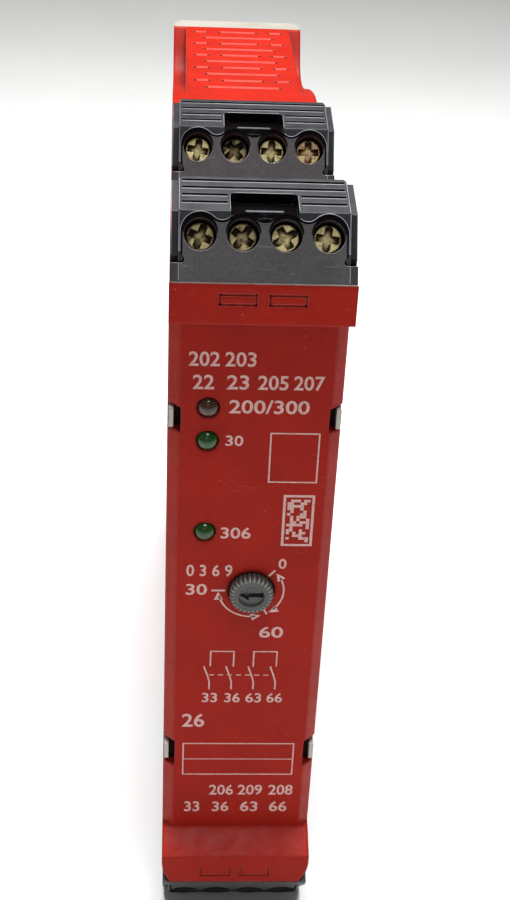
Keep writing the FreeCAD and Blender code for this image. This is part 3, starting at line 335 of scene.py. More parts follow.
materials = {
    # darkening in hollows reaches 5 mm here, so it paints shade under the upper lip onto the face;
    # the pale edges are partly painted highlight
    "red_housing": plastic(
        "red_housing", RED, rough=0.42, grain=0.22, grain_depth=0.014, soft=0.7,
        wear_and_highlight=RED_PALE, wear_and_highlight_share=0.8, grime_and_shade=(0.10, 0.006, 0.004), grime_and_shade_share=0.75,
        grime_and_shade_reach=5.0, scuffs=0.14, specks=0.35, specular=0.1, fine=0.3),
    # the pale edges of the louvres are painted highlights
    "louvre_red": plastic(
        "louvre_red", (0.42, 0.03, 0.018), rough=0.5, soft=0.05, wear_and_highlight=(0.6, 0.10, 0.07),
        wear_and_highlight_share=0.5, specular=0.15),
    # painted highlight: pale red of the bead along the upper lip's edge
    "highlight_red": plastic(
        "highlight_red", (0.95, 0.66, 0.60), rough=0.5, grain=0.5, soft=0.03, mottle=0.6),
    "light_grey_plastic": plastic(
        "light_grey_plastic", (0.50, 0.475, 0.43), rough=0.5, soft=0.2,
        wear_and_highlight=(0.9, 0.9, 0.86), wear_and_highlight_share=0.3, grime_and_shade=(0.25, 0.23, 0.19), grime_and_shade_share=0.7,
        specks=0.3),
    "base_cream": plastic(
        "base_cream", (0.31, 0.29, 0.25), rough=0.55, soft=0.2, wear_and_highlight=(0.5, 0.48, 0.44),
        wear_and_highlight_share=0.3, grime_and_shade=(0.16, 0.14, 0.11), grime_and_shade_share=0.7, specks=0.3, specular=0.3),
    "latch_plastic": plastic(
        "latch_plastic", (0.035, 0.035, 0.04), rough=0.4, soft=0.15,
        wear_and_highlight=(0.16, 0.16, 0.17), wear_and_highlight_share=0.5, scuffs=0.4, grime_and_shade=SOOT_AND_SHADE),
    "spring_steel": metal(
        "spring_steel", (0.62, 0.62, 0.60), rough=0.28, dark=(0.05, 0.04, 0.03),
        dark_share=0.5, brushed=(1, 1, 0.2)),
    "circuit_board": circuit_board("circuit_board"),
    "relay_case": plastic(
        "relay_case", (0.70, 0.42, 0.05), rough=0.35, soft=0.3, mottle=0.05,
        wear_and_highlight=(0.85, 0.65, 0.25), wear_and_highlight_share=0.4, grime_and_shade=(0.2, 0.1, 0.02)),
    "ferrite": plastic(
        "ferrite", (0.055, 0.055, 0.06), rough=0.62, grain=0.12, grain_depth=0.03,
        wear_and_highlight=(0.2, 0.2, 0.2), wear_and_highlight_share=0.5),
    "capacitor_sleeve": plastic(
        "capacitor_sleeve", (0.02, 0.025, 0.06), rough=0.3, soft=0.3, mottle=0.15),
    "chip_black": plastic(
        "chip_black", (0.018, 0.018, 0.02), rough=0.55, grain=0.1, grain_depth=0.02),
    "connector_black": plastic("connector_black", (0.025, 0.025, 0.027), rough=0.45),
    "lamp_amber": lamp_resin("lamp_amber", (0.055, 0.028, 0.016), (0.16, 0.10, 0.07)),
    "lamp_green": lamp_resin("lamp_green", (0.010, 0.060, 0.006), (0.04, 0.2, 0.03)),
    "knob_grey": plastic(
        "knob_grey", (0.065, 0.066, 0.060), rough=0.42, soft=0.1, grain=0.15,
        wear_and_highlight=(0.38, 0.38, 0.36), wear_and_highlight_share=0.6, grime_and_shade=(0.012, 0.012, 0.011),
        grime_and_shade_share=0.9, grime_and_shade_reach=0.8),
    "knurl_grey": plastic(
        "knurl_grey", (0.24, 0.24, 0.22), rough=0.4, soft=0.04, grain=0.3, mottle=0.4),
    "switch_body": plastic("switch_body", (0.03, 0.03, 0.035), rough=0.5),
    "tinned_brass": metal(
        "tinned_brass", (0.66, 0.64, 0.58), rough=0.24, dark=(0.10, 0.08, 0.05),
        dark_share=0.6, brushed=(1, 0.15, 1)),
    "header_black": plastic("header_black", (0.02, 0.02, 0.022), rough=0.5),
    "cage_steel": metal(
        "cage_steel", (0.60, 0.61, 0.62), rough=0.34, dark=(0.06, 0.055, 0.05),
        dark_share=0.6, brushed=(0.2, 1, 1)),
    # darkening in the grooves and hollows is painted shade; the pale edges are partly painted
    # highlight
    "plug_cover_grey": plastic(
        "plug_cover_grey", (0.015, 0.016, 0.020), rough=0.36, grain=0.3, grain_depth=0.01,
        soft=0.13, mottle=0.12, wear_and_highlight=(0.20, 0.21, 0.24), wear_and_highlight_share=0.5,
        grime_and_shade=(0.006, 0.004, 0.005), grime_and_shade_share=0.95, grime_and_shade_reach=1.1,
        scuffs=0.22, specks=0.25, specular=0.27, fine=0.6),
    # painted shade: near black, for sheets put where shade falls
    "painted_shade_black": plastic(
        "painted_shade_black", (0.004, 0.003, 0.0035), rough=0.6, grain=0.2, grain_depth=0.02,
        soft=0.05, mottle=0.3, specular=0.0),
    # painted shade inside the snap notches
    "notch_painted_shade": plastic(
        "notch_painted_shade", (0.016, 0.004, 0.004), rough=0.6, soft=0.05, mottle=0.5, specular=0.1),
    # painted highlight: pale grey of the beads along the plugs' edges
    "plug_highlight_grey": plastic(
        "plug_highlight_grey", (0.21, 0.215, 0.235), rough=0.3, grain=0.4, soft=0.02, mottle=0.5),
    # darkening near the bosses and the dark sides past 10.25 mm are painted shade; the pale edges
    # are partly painted highlight
    "plug_black": plastic(
        "plug_black", (0.050, 0.046, 0.048), rough=0.40, grain=0.3, grain_depth=0.01,
        soft=0.13, mottle=0.12, wear_and_highlight=(0.22, 0.22, 0.24), wear_and_highlight_share=0.5,
        grime_and_shade=(0.008, 0.003, 0.003), grime_and_shade_share=0.95, grime_and_shade_reach=2.4,
        scuffs=0.25, specks=0.3, flank_shade_beyond=10.25, fine=0.6),
    "face_ink": print_ink("face_ink", (0.72, 0.46, 0.42), (0.50, 0.06, 0.04)),
}
brass = {
    "clean": screw_metal("screw_brass", BRASS, 0.26, BROWN, 0.7, (0.24, 0.15, 0.05), 0.6),
    "dull": screw_metal(
        "screw_brass_dull", shade(BRASS, 0.72), 0.36, BROWN, 0.8, (0.10, 0.075, 0.03), 0.8),
    "dirty": screw_metal(
        "screw_brass_dirty", shade(BRASS, 0.6), 0.42, (0.02, 0.012, 0.008), 0.9,
        (0.025, 0.014, 0.012), 0.95, brushed=(1, 0.5, 1), dark_open=0.85, dark_full=0.5),
    "copper": screw_metal(
        "screw_brass_copper", (0.90, 0.64, 0.34), 0.26, (0.14, 0.035, 0.012), 0.7,
        (0.36, 0.13, 0.05), 0.6),
}
SCREW_FINISHES = {           # screws 1 to 4 of each row
    "front": ("dull", "dull", "clean", "clean"),
    "rear": ("clean", "dirty", "clean", "copper"),
}
slot_of = {part["node"]: part["material_slot"] for part in frame["record"]["subparts"]}


def finish_of(node):
    if "_screw_" in node:
        row = "front" if "_front_" in node else "rear"
        return brass[SCREW_FINISHES[row][int(node[-1]) - 1]]
    if node == "rear_base":
        return materials["base_cream"]
    return materials[slot_of[node]]


for name, obj in nodes.items():
    obj.data.materials.clear()
    obj.data.materials.append(finish_of(name))


# ---- mesh helpers
def new_object(name, bm, material, smooth=False):
    """A mesh object with one material. The bmesh is used up."""
    if smooth:
        for face in bm.faces:
            face.smooth = True
    mesh = bpy.data.meshes.new(name)
    bm.to_mesh(mesh)
    bm.free()
    mesh.materials.append(material)
    obj = bpy.data.objects.new(name, mesh)
    bpy.context.scene.collection.objects.link(obj)
    return obj


def add_piece(name, bm, material, body, smooth=False):
    """A visible piece that moves with a body."""
    obj = new_object(name, bm, materials[material], smooth)
    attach(obj, body)


def mesh_of_curve(curve):
    """The mesh of a curve or a text, which is used up."""
    holder = bpy.data.objects.new(curve.name, curve)
    bpy.context.scene.collection.objects.link(holder)
    bpy.context.view_layer.update()
    mesh = bpy.data.meshes.new_from_object(
        holder.evaluated_get(bpy.context.evaluated_depsgraph_get()))
    bpy.data.objects.remove(holder)
    return mesh


def add_verts(bm, points):
    return [bm.verts.new(point) for point in points]


def join_rows(bm, first, second):
    """A strip of faces between two rows of vertices."""
    for i in range(len(first) - 1):
        bm.faces.new((first[i], first[i + 1], second[i + 1], second[i]))


def add_bar(bm, low, high, bevel=0.0):
    """A box between two corners in millimetres, with rounded edges if a bevel is given."""
    made = bmesh.ops.create_cube(bm, size=1.0)
    size = [(b - a) * MM for a, b in zip(low, high)]
    middle = [(a + b) / 2 * MM for a, b in zip(low, high)]
    placing = Matrix.Translation(middle) @ Matrix.Diagonal((*size, 1))
    bmesh.ops.transform(bm, matrix=placing, verts=made["verts"])
    if bevel:
        edges = {edge for vert in made["verts"] for edge in vert.link_edges}
        bmesh.ops.bevel(bm, geom=list(edges), offset=bevel * MM, segments=2, affect="EDGES",
                        profile=0.6)


def bead(bm, points, radius):
    """A fine rounded bead along points in metres."""
    curve = bpy.data.curves.new("bead", "CURVE")
    curve.dimensions = "3D"
    curve.bevel_depth = radius * MM
    curve.bevel_resolution = 1
    spline = curve.splines.new("POLY")
    spline.points.add(len(points) - 1)
    for knot, point in zip(spline.points, points):
        knot.co = (*point, 1)
    mesh = mesh_of_curve(curve)
    bm.from_mesh(mesh)
    bpy.data.meshes.remove(mesh)


def circle_point(centre, radius, angle):
    turn = math.radians(angle)
    return centre[0] + radius * math.cos(turn), centre[1] + radius * math.sin(turn)


def arc_points(centre, radius, start, end, steps=14):
    return [circle_point(centre, radius, start + (end - start) * i / steps)
            for i in range(steps + 1)]


# ---- slanted louvres in the vent slots
VENT_ROWS = 10
VENT_PITCH = 3.32
VENT_BACK_GAP = 3.05         # from the shell's back to the middle of the last slot
VENT_HALF = 0.3              # half of a slot's width
VENT_FULL = [(-6.1, 6.1)]
VENT_SPLIT = [(-7.85, -5.15), (-3.45, 3.45), (5.15, 7.85)]
LOUVRE_GAP = 0.4             # open at each end of a slot
LOUVRE_PROFILE = [           # (back from the slot's middle, above the panel)
    (-VENT_HALF, -0.16), (-VENT_HALF + 0.12, -0.12), (VENT_HALF - 0.16, 0.0),
    (VENT_HALF - 0.06, 0.07), (VENT_HALF + 0.10, 0.08), (VENT_HALF + 0.18, -0.02),
    (VENT_HALF, -0.6), (-VENT_HALF, -0.6)]


def louvres(name, side):
    bm = bmesh.new()
    for row in range(VENT_ROWS):
        y = SHELL_BACK - VENT_BACK_GAP - VENT_PITCH * (VENT_ROWS - 1 - row)
        for x0, x1 in VENT_SPLIT if row % 2 else VENT_FULL:
            left, right = [
                add_verts(bm, [(x * MM, (y + dy) * MM, side * (PANEL_Z + dz) * MM)
                               for dy, dz in LOUVRE_PROFILE])
                for x in (x0 + LOUVRE_GAP, x1 - LOUVRE_GAP)]
            bm.faces.new(left)
            bm.faces.new(right[::-1])
            join_rows(bm, right + right[:1], left + left[:1])
    bmesh.ops.recalc_face_normals(bm, faces=bm.faces)
    add_piece(name, bm, "louvre_red", "housing")


# ---- plugs: places in a plug's own frame
ROWS = {"front": (-107.1, 51.0), "rear": (-75.45, 49.85)}     # (y, z) of a screw face's foot
PLUGS = [("%s_%s" % (level, row), row, side)
         for level, side in (("upper", 1), ("lower", -1)) for row in ROWS]
TILT = math.radians(31.3)
PLUG_CLEAR = 0.15            # between a plug and its pocket
BEVEL_START = 8.4            # height where the bevel leaves the screw face
RIDGE_BACK = 5.8             # from the screw face back to the ridge
RIDGE_HEIGHT = ((PLUG_TOP - ROWS["front"][1] - PLUG_CLEAR / math.cos(TILT)
                 + RIDGE_BACK * math.sin(TILT)) / math.cos(TILT))
BEVEL_RISE = RIDGE_HEIGHT - BEVEL_START
BEVEL_LENGTH = math.hypot(BEVEL_RISE, RIDGE_BACK)


def plug_point(row, side, x, depth, height):
    """A point given in a plug's own frame, in metres on the device."""
    y0, z0 = ROWS[row]
    z0 += PLUG_CLEAR / math.cos(TILT)
    y = y0 + depth * math.cos(TILT) + height * math.sin(TILT)
    z = z0 - depth * math.sin(TILT) + height * math.cos(TILT)
    return Vector((x, y, side * z)) * MM


def bevel_point(row, side, x, down, deep):
    """A point on a plug's bevel: distance down from the ridge, depth under its surface."""
    depth = RIDGE_BACK - down * RIDGE_BACK / BEVEL_LENGTH + deep * BEVEL_RISE / BEVEL_LENGTH
    height = RIDGE_HEIGHT - down * BEVEL_RISE / BEVEL_LENGTH - deep * RIDGE_BACK / BEVEL_LENGTH
    return plug_point(row, side, x, depth, height)


# ---- painted shade: near-black sheets on the floors and walls of the screwdriver recesses
RECESS_HALF = 4.05
RECESS_START = 3.58          # down from the ridge
RECESS_FLOOR = [(3.68, 1.40), (4.2, 1.43), (6.25, 1.43)]      # (down, deep)
RECESS_COLUMNS = (-3.98, -2.0, 0.0, 2.0, 3.98)
WALL_TOP, WALL_FOOT = 0.04, 1.4                               # deep
RECESS_WALLS = [             # both ends of each wall as (x, down)
    ((-3.4, 3.6), (3.4, 3.6)), ((-4.03, 4.25), (-4.03, 7.2)), ((4.03, 4.25), (4.03, 7.2))]


def recess_floor(tag, row, side):
    bm = bmesh.new()
    columns = [add_verts(bm, [bevel_point(row, side, x, *step) for step in RECESS_FLOOR])
               for x in RECESS_COLUMNS]
    for left, right in zip(columns, columns[1:]):
        join_rows(bm, right, left)
    for start, end in RECESS_WALLS:
        corners = [(*start, WALL_TOP), (*end, WALL_TOP), (*end, WALL_FOOT), (*start, WALL_FOOT)]
        bm.faces.new(add_verts(bm, [bevel_point(row, side, *corner) for corner in corners]))
    add_piece("recess_floor_" + tag, bm, "painted_shade_black", "plug_" + tag)


# ---- painted highlights along the plugs' edges, as fine rounded beads in pale grey
PITCH = 5.08
POLES = [(i - 1.5) * PITCH for i in range(4)]
COVER_HALF = 10.2
BODY_SIDE = 11.06            # x of the edges of the body's side plates
BOSS_R = 2.1
BOSS_FOOT = 3.5
CROWN = 5.93                 # height of the middle of a boss's round top
SCREW_LINE = 5.58            # height of the screws
SADDLE_R = 1.626
SADDLE_Z = 8.656
GROOVE_START = 0.57          # upper edge of the first cover groove, down from the ridge
GROOVE_PITCH = 1.63
GROOVES = 4
WHOLE_GROOVES = 2            # the recess breaks the others


def boss_line(grow):
    """(x, height) points over the four bosses and the saddles between them."""
    half = PITCH / 2
    touch = math.degrees(math.atan2(SADDLE_Z - CROWN, half))
    last = len(POLES) - 1
    points = [(POLES[0] - BOSS_R - grow, BOSS_FOOT)]
    for i, x in enumerate(POLES):
        start = 180 if i == 0 else 180 - touch
        end = 0 if i == last else touch
        points += arc_points((x, CROWN), BOSS_R + grow, start, end, 10)
        if i < last:
            saddle = arc_points((x + half, SADDLE_Z), SADDLE_R - grow, 180 + touch, 360 - touch, 8)
            points += saddle[1:-1]
    return points + [(POLES[-1] + BOSS_R + grow, BOSS_FOOT)]


def groove_spans(inner, outer):
    """(x0, x1, down from the ridge) of each stretch of the cover's grooves."""
    for i in range(GROOVES):
        down = GROOVE_START + i * GROOVE_PITCH
        whole = i < WHOLE_GROOVES
        for x0, x1 in [(-outer, outer)] if whole else [(-outer, -inner), (inner, outer)]:
            yield x0, x1, down


def plug_edges(tag, row, side):
    bm = bmesh.new()

    def on_face(points, radius):
        bead(bm, [plug_point(row, side, x, 0.0, z) for x, z in points], radius)

    def on_bevel(points, radius, deep=0.02):
        bead(bm, [bevel_point(row, side, x, down, deep) for x, down in points], radius)

    for x0, x1, down in groove_spans(4.4, 9.85):             # lower edges of the grooves
        on_bevel([(x0, down + 0.6), (x1, down + 0.6)], 0.07)
    on_bevel([(-9.8, 0.06), (9.8, 0.06)], 0.05, 0.08)        # ridge
    for flank in (-1, 1):
        x = flank * (COVER_HALF - 0.06)                      # sides of the cover
        on_bevel([(x, 0.45), (x, 7.5)], 0.06, 0.03)
        on_face([(x, BEVEL_START - 0.1), (x, BOSS_FOOT)], 0.05)
        on_face([(x, 2.1), (x, 0.12)], 0.045)
        x = flank * (RECESS_HALF + 0.05)                     # sides of the recess
        on_bevel([(x, RECESS_START + 0.5), (x, 7.4)], 0.05)
    x, down = RECESS_HALF - 0.5, RECESS_START - 0.04         # upper edge of the recess
    on_bevel([(-x, down), (x, down)], 0.05)
    on_bevel([(-2.2, 6.62), (2.2, 6.62)], 0.035, 0.6)        # step in the recess
    outer = boss_line(0.28)                                  # cover's scalloped edge
    on_face([point for point in outer if point[0] < -RECESS_HALF], 0.05)
    on_face([point for point in outer if point[0] > RECESS_HALF], 0.05)
    for x in POLES:                                          # lower rims of the screw holes
        on_face(arc_points((x, SCREW_LINE), 1.98, 200, 340, 16), 0.035)
    corners = ((0.92, 3.2), (0.92, BEVEL_START), (6.1, RIDGE_HEIGHT - 0.52))
    for flank in (-1, 1):                                    # body's side plates
        plate = [plug_point(row, side, flank * BODY_SIDE, *corner) for corner in corners]
        bead(bm, plate, 0.045)
    name = "plug_" + tag
    add_piece(name + "_edges", bm, "plug_highlight_grey", name, smooth=True)


# ---- shade on the bosses' crowns, in the gap around them and in the cover's grooves
ARC_STEPS = 20
SHADE_LIFT = 0.012           # of the crowns' shade before the screw face
GROOVE_FLOOR = 0.33          # deep


def boss_shades(tag, row, side):
    bm = bmesh.new()
    for x in POLES:
        hole = arc_points((x, SCREW_LINE), 1.97, 4, 176, ARC_STEPS)
        rim = arc_points((x, CROWN), BOSS_R - 0.01, 0, 180, ARC_STEPS)
        inner, outer = [
            add_verts(bm, [plug_point(row, side, px, -SHADE_LIFT, pz) for px, pz in arc])
            for arc in (hole, rim)]
        join_rows(bm, inner, outer)
    bead(bm, [plug_point(row, side, x, 0.03, z) for x, z in boss_line(0.11)], 0.12)
    for x0, x1, down in groove_spans(4.45, 9.8):
        upper, lower = down + 0.02, down + 0.53
        corners = ((x0, upper), (x1, upper), (x1, lower), (x0, lower))
        bm.faces.new(add_verts(
            bm, [bevel_point(row, side, *corner, GROOVE_FLOOR) for corner in corners]))
    name = "plug_" + tag
    add_piece(name + "_shades", bm, "painted_shade_black", name, smooth=True)


# ---- shallow red floors of the engraved outlines on the lips
OUTLINES = ((48.05, 49.65, False), (-49.75, -47.75, True))    # (z0, z1, open at the top)
OUTLINE_X = (0.68, 5.30)
OUTLINE_WIDTH = 0.3
OUTLINE_Y = (-107.0, -106.9)
OUTLINE_CLEAR = 0.01


def outline_floors():
    bm = bmesh.new()
    wide, clear = OUTLINE_WIDTH, OUTLINE_CLEAR
    for z0, z1, open_top in OUTLINES:
        for flank in (-1, 1):
            x0, x1 = sorted(flank * x for x in OUTLINE_X)
            bars = [(x0, x0 + wide, z0, z1), (x1 - wide, x1, z0, z1), (x0, x1, z0, z0 + wide)]
            if not open_top:
                bars.append((x0, x1, z1 - wide, z1))
            for a, b, c, d in bars:
                add_bar(bm, (a + clear, OUTLINE_Y[0], c + clear),
                        (b - clear, OUTLINE_Y[1], d - clear))
    add_piece("outline_floors", bm, "red_housing", "housing")


# ---- painted shade: dark plates inside the snap notches
NOTCHES = ((29.7, 3.7), (-28.1, 5.0))                         # (middle z, height)
NOTCH_X = (9.58, 10.46)
NOTCH_Y = (-100.78, -100.68)
NOTCH_CLEAR = 0.02


def notch_shades():
    bm = bmesh.new()
    for flank in (-1, 1):
        x0, x1 = sorted(flank * x for x in NOTCH_X)
        for middle, height in NOTCHES:
            z0 = middle - height / 2 + NOTCH_CLEAR
            z1 = middle + height / 2 - NOTCH_CLEAR
            add_bar(bm, (x0, NOTCH_Y[0], z0), (x1, NOTCH_Y[1], z1), bevel=0.02)
    add_piece("notch_shades", bm, "notch_painted_shade", "housing")


# ---- painted highlight along the upper edge of the upper lip, as a ragged pale bead
LIP_HALF = 11.1
LIP_EDGE_Y = -106.92
LIP_EDGE_R = 0.16
LIP_WAVE = 0.02              # how far the highlight line strays up and down
LIP_STEPS = 60


def lip_edge():
    bm = bmesh.new()
    points = []
    for i in range(LIP_STEPS + 1):
        wave = math.sin(i * 1.7) * 0.5 + math.sin(i * 0.61 + 2.0) * 0.5
        x = -LIP_HALF + 2 * LIP_HALF * i / LIP_STEPS
        points.append(Vector((x, LIP_EDGE_Y, PANEL_Z + LIP_WAVE * wave)) * MM)
    bead(bm, points, LIP_EDGE_R)
    add_piece("lip_edge", bm, "highlight_red", "housing", smooth=True)


# ---- knurled rim of the knob
KNOB = (0.6, 2.3)            # (x, z) of its axis
KNOB_FRONT = -104.15
KNURLS = 28
KNURL_PROFILE = ((2.42, 0.03), (2.75, -0.01), (2.93, 0.16), (2.97, 0.5))    # (radius, set back)


def knob_knurl():
    bm = bmesh.new()
    for i in range(KNURLS):
        points = []
        for radius, back in KNURL_PROFILE:
            x, z = circle_point(KNOB, radius, (i + 0.5) * 360 / KNURLS)
            points.append(Vector((x, KNOB_FRONT + back, z)) * MM)
        bead(bm, points, 0.1)
    add_piece("knob_knurl", bm, "knurl_grey", "selector", smooth=True)


# ---- latch spring between the base and the latch, as a coil in the box of the CAD spring
SPRING_TURNS = 8
SPRING_WIRE = 0.2            # radius
STEPS_PER_TURN = 24


def latch_coil():
    low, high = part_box("latch_spring")
    radius = (high[0] - low[0]) / 2 - SPRING_WIRE * MM
    x, y = (low[0] + high[0]) / 2, (low[1] + high[1]) / 2
    bottom, top = low[2] + SPRING_WIRE * MM, high[2] - SPRING_WIRE * MM
    steps = SPRING_TURNS * STEPS_PER_TURN
    points = [(*circle_point((x, y), radius, 360 * SPRING_TURNS * i / steps),
               bottom + (top - bottom) * i / steps) for i in range(steps + 1)]
    bm = bmesh.new()
    bead(bm, points, SPRING_WIRE)
    obj = new_object("latch_coil", bm, materials["spring_steel"], smooth=True)
    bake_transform(obj)
    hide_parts("latch_spring")


# ---- print on the face
INK_Y = FACE_Y - 0.015
LABELS = [                   # (text, x0, x1, z0, z1)
    ("202", -8.65, -4.75, 37.5, 39.6), ("203", -4.1, -0.2, 37.5, 39.6),
    ("22", -8.1, -5.4, 34.2, 36.3), ("23", -3.8, -1.0, 34.2, 36.3),
    ("205", 0.15, 4.0, 34.2, 36.3), ("207", 4.7, 8.6, 34.2, 36.3),
    ("200/300", -3.4, 6.9, 30.7, 32.7),
    ("30", -3.7, -1.4, 25.8, 27.4), ("306", -3.9, 0.15, 11.1, 12.95),
    ("0", 4.15, 5.25, 6.1, 7.8), ("30", -8.4, -5.5, 1.5, 3.4), ("60", 2.0, 5.4, -6.0, -4.0),
    ("33", -5.75, -3.55, -18.1, -16.3), ("36", -2.5, -0.25, -18.1, -16.3),
    ("63", 0.55, 2.85, -18.1, -16.3), ("66", 3.6, 5.9, -18.1, -16.3),
    ("206", -4.25, -0.6, -36.7, -34.6), ("209", 0.1, 3.8, -36.7, -34.6),
    ("208", 4.75, 8.46, -36.7, -34.6),
    ("33", -7.96, -5.63, -40.2, -38.1), ("36", -3.7, -1.19, -40.2, -38.1),
    ("63", 0.57, 3.26, -40.2, -38.1), ("66", 5.01, 7.73, -40.2, -38.1),
    ("26", -8.55, -5.3, -22.9, -20.3), ("0 3 6 9", -8.4, -2.1, 4.7, 6.7),
]
GLYPH_WEIGHT = 0.016


def ink_point(x, z):
    return Vector((x, INK_Y, z)) * MM


def ink_face(bm, corners):
    bm.faces.new(add_verts(bm, [ink_point(x, z) for x, z in corners]))


def glyphs(bm, text, x0, x1, z0, z1):
    """Plain characters fitted to a box on the face."""
    curve = bpy.data.curves.new("glyphs", "FONT")
    curve.body = text
    curve.offset = GLYPH_WEIGHT
    curve.resolution_u = 3
    mesh = mesh_of_curve(curve)
    xs = [v.co.x for v in mesh.vertices]
    ys = [v.co.y for v in mesh.vertices]
    for v in mesh.vertices:
        x = x0 + (v.co.x - min(xs)) / (max(xs) - min(xs)) * (x1 - x0)
        z = z0 + (v.co.y - min(ys)) / (max(ys) - min(ys)) * (z1 - z0)
        v.co = ink_point(x, z)
    bm.from_mesh(mesh)
    bpy.data.meshes.remove(mesh)


def patch(bm, x0, x1, z0, z1):
    ink_face(bm, [(x0, z0), (x1, z0), (x1, z1), (x0, z1)])


def line(bm, points, width):
    """A printed line of even width along (x, z) points, mitred at its corners."""
    points = [Vector(point) for point in points]
    runs = [(b - a).normalized() for a, b in zip(points, points[1:])]
    rails = []
    for i, point in enumerate(points):
        before, after = runs[max(i - 1, 0)], runs[min(i, len(runs) - 1)]
        middle = (before + after).normalized()
        reach = width / 2 / max(middle.dot(before), 0.4)
        across = Vector((-middle.y, middle.x)) * reach
        rails.append(add_verts(bm, [ink_point(*(point + across)), ink_point(*(point - across))]))
    for a, b in zip(rails, rails[1:]):
        join_rows(bm, a, b)


def rectangle(bm, x0, x1, z0, z1, width):
    half = width / 2
    for z in (z0, z1):
        patch(bm, x0 - half, x1 + half, z - half, z + half)
    for x in (x0, x1):
        patch(bm, x - half, x + half, z0 + half, z1 - half)


def arrow_head(bm, tip, heading):
    length, half = 1.35, 0.62
    along = Vector(circle_point((0, 0), 1, heading))
    across = Vector((-along.y, along.x)) * half
    back = Vector(tip) - along * length
    ink_face(bm, [tip, back + across, back - across])


CODE_FRAME = (4.45, 8.3, 10.15, 18.1)
CODE_CORNER = (4.86, 10.62)
CODE_ROWS = 16
CODE_COLUMNS = 7
CODE_SHARE = 0.52            # of squares that are filled
CELL = 0.435                 # one square
CELL_FILL = 0.94             # height of a filled square, as a share


def code_field(bm):
    """A frame of squares filled at random, each run of them as one patch."""
    rectangle(bm, *CODE_FRAME, 0.35)
    chance = random.Random(5)
    x0, z0 = CODE_CORNER
    for row in range(CODE_ROWS):
        filled = [chance.random() < CODE_SHARE for _ in range(CODE_COLUMNS)] + [False]
        start = None
        for column, dark in enumerate(filled):
            if dark and start is None:
                start = column
            if not dark and start is not None:
                z = z0 + row * CELL
                patch(bm, x0 + start * CELL, x0 + column * CELL, z, z + CELL * CELL_FILL)
                start = None


DIAL_TICKS = ((180, 3.6, 5.5), (48, 3.4, 4.75), (-60, 3.5, 4.7))    # (angle, inner, outer)
DIAL_ARCS = ((192, 280), (-46, 30))
DIAL_R = 4.5
DIAL_ARROWS = (              # (angle, radius, heading)
    (183, 4.55, 92), (289, 4.55, 15), (42, 4.5, 125), (-56, 4.55, -150))


def dial(bm):
    """Three ticks and two double arrows around the knob."""
    for angle, inner, outer in DIAL_TICKS:
        line(bm, [circle_point(KNOB, inner, angle), circle_point(KNOB, outer, angle)], 0.3)
    for start, end in DIAL_ARCS:
        line(bm, arc_points(KNOB, DIAL_R, start, end), 0.24)
    for angle, radius, heading in DIAL_ARROWS:
        arrow_head(bm, circle_point(KNOB, radius, angle), heading)


CONTACT_TOP = -11.3
LINK_TOP = -8.55
LINK_STARTS = (-4.69, 1.44)
LINK_WIDTH = 3.3
CONTACTS = 4
CONTACT_START = -5.62
CONTACT_PITCH = 3.17
CONTACT = ((0.0, CONTACT_TOP), (0.55, -13.0), (0.85, -14.2), (0.85, -15.6))     # (dx, z)
DASHES = 7
DASH_START = -4.85
DASH_PITCH = 1.3
DASH_LENGTH = 0.72
DASH_Z = -12.9


def linked_contacts(bm):
    """Four contacts in two linked pairs, with a dashed bar across them."""
    for x in LINK_STARTS:
        end = x + LINK_WIDTH
        line(bm, [(x, CONTACT_TOP), (x, LINK_TOP), (end, LINK_TOP), (end, CONTACT_TOP)], 0.2)
    for i in range(CONTACTS):
        x = CONTACT_START + i * CONTACT_PITCH
        line(bm, [(x + dx, z) for dx, z in CONTACT], 0.22)
    for i in range(DASHES):
        x = DASH_START + i * DASH_PITCH
        line(bm, [(x, DASH_Z), (x + DASH_LENGTH, DASH_Z)], 0.18)


EMPTY_FIELD = (2.15, 8.45, 20.3, 27.8)
MARKING_FIELD = (-8.3, 8.1, -32.4, -26.2)
MARKING_MIDDLE = -29.3


def face_print():
    bm = bmesh.new()
    for label in LABELS:
        glyphs(bm, *label)
    rectangle(bm, *EMPTY_FIELD, 0.2)
    code_field(bm)
    dial(bm)
    linked_contacts(bm)
    rectangle(bm, *MARKING_FIELD, 0.2)
    x0, x1 = MARKING_FIELD[:2]
    line(bm, [(x0, MARKING_MIDDLE), (x1, MARKING_MIDDLE)], 0.14)
    for face in bm.faces:
        if face.normal.y > 0:
            face.normal_flip()
    add_piece("face_print", bm, "face_ink", "housing")


louvres("louvres_upper", 1)
louvres("louvres_lower", -1)
for plug in PLUGS:
    recess_floor(*plug)
face_print()
notch_shades()
outline_floors()
lip_edge()
for plug in PLUGS:
    plug_edges(*plug)
    boss_shades(*plug)
knob_knurl()
latch_coil()


# ---- camera, floor, light
IMAGE_HEIGHT = 900           # pixels
FOCAL = 1468.017             # pixels
SENSOR = 36                  # mm, on the image's longer side
CAMERA_SHIFT = Vector((-1.225, 21.353, 203.744))              # mm, in the camera's own axes
CAMERA_TURNS = ((0.014, "Z"), (-0.057, "Y"), (0.561, "X"))    # radians


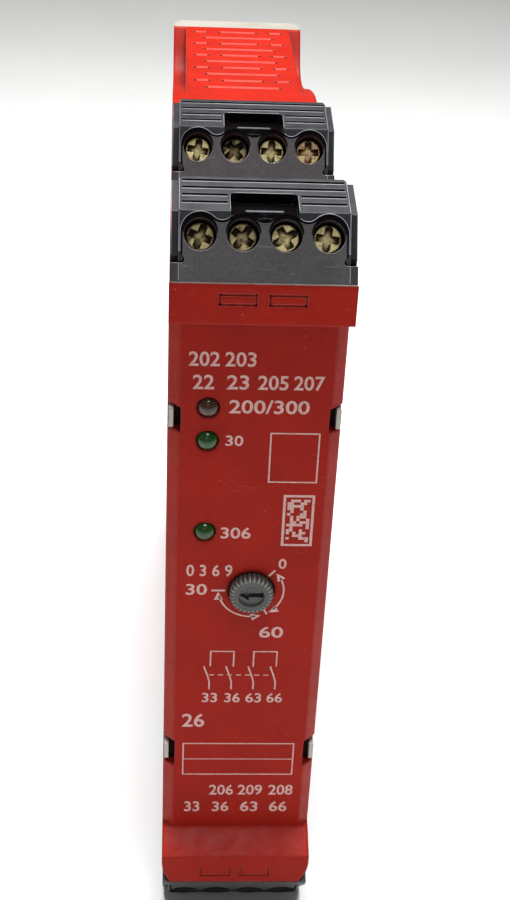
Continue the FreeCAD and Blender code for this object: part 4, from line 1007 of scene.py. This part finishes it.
def camera():
    turn = Matrix.Identity(3)
    for angle, axis in CAMERA_TURNS:
        turn = turn @ Matrix.Rotation(angle, 3, axis)
    turn = turn @ Matrix(((1, 0, 0), (0, 0, -1), (0, 1, 0)))  # upright device to upright image
    eye = (Vector((0, FACE_Y, 0)) - turn.transposed() @ CAMERA_SHIFT) * MM
    data = bpy.data.cameras.new("camera")
    data.lens = FOCAL / IMAGE_HEIGHT * SENSOR
    data.sensor_width = SENSOR
    data.clip_start = 0.005
    obj = bpy.data.objects.new("camera", data)
    bpy.context.scene.collection.objects.link(obj)
    columns = Matrix((turn[0], -turn[1], -turn[2])).transposed()
    obj.matrix_world = Matrix.Translation(eye) @ columns.to_4x4()
    bpy.context.scene.camera = obj


FLOOR_HALF = 2.0             # metres, as are the places below
FLOOR_GAP = 0.02 * MM        # under the device
FLOOR_PROFILE = [(-2.0, 0.0), (0.35, 0.0), (0.6, 0.02), (0.85, 0.10), (1.05, 0.28),
                 (1.15, 0.6), (1.15, 1.6)]                    # (y, z)


def floor():
    """A pale floor that curves up far behind."""
    bm = bmesh.new()
    base = FLOOR_Z * MM - FLOOR_GAP
    rows = [add_verts(bm, [(x, y, z + base) for x in (-FLOOR_HALF, FLOOR_HALF)])
            for y, z in FLOOR_PROFILE]
    for a, b in zip(rows, rows[1:]):
        join_rows(bm, a, b)
    new_object("floor", bm, floor_paint(), smooth=True)


def area_light(name, place, target, size, power):
    """A square light in metres and watts, turned to its target."""
    data = bpy.data.lights.new(name, "AREA")
    data.energy = power
    data.size = size
    obj = bpy.data.objects.new(name, data)
    obj.location = place
    heading = Vector(target) - Vector(place)
    obj.rotation_euler = heading.to_track_quat("-Z", "Y").to_euler()
    bpy.context.scene.collection.objects.link(obj)


camera()
floor()
area_light("ceiling", (0.0, 0.1, 0.6), (0, -0.02, 0), size=0.36, power=7.7)
area_light("ceiling_front", (0.02, -0.22, 0.6), (0, -0.1, 0.0), size=0.2, power=2.0)
area_light("window", (-0.08, -0.66, 0.46), (0, -0.1, 0.02), size=0.34, power=0.22)
world = bpy.data.worlds.new("studio")
bpy.context.scene.world = world
bpy.context.scene.view_settings.view_transform = "Standard"
world.use_nodes = True
background = world.node_tree.nodes["Background"]
background.inputs["Color"].default_value = (0.95, 0.97, 1.0, 1)
background.inputs["Strength"].default_value = 0.14
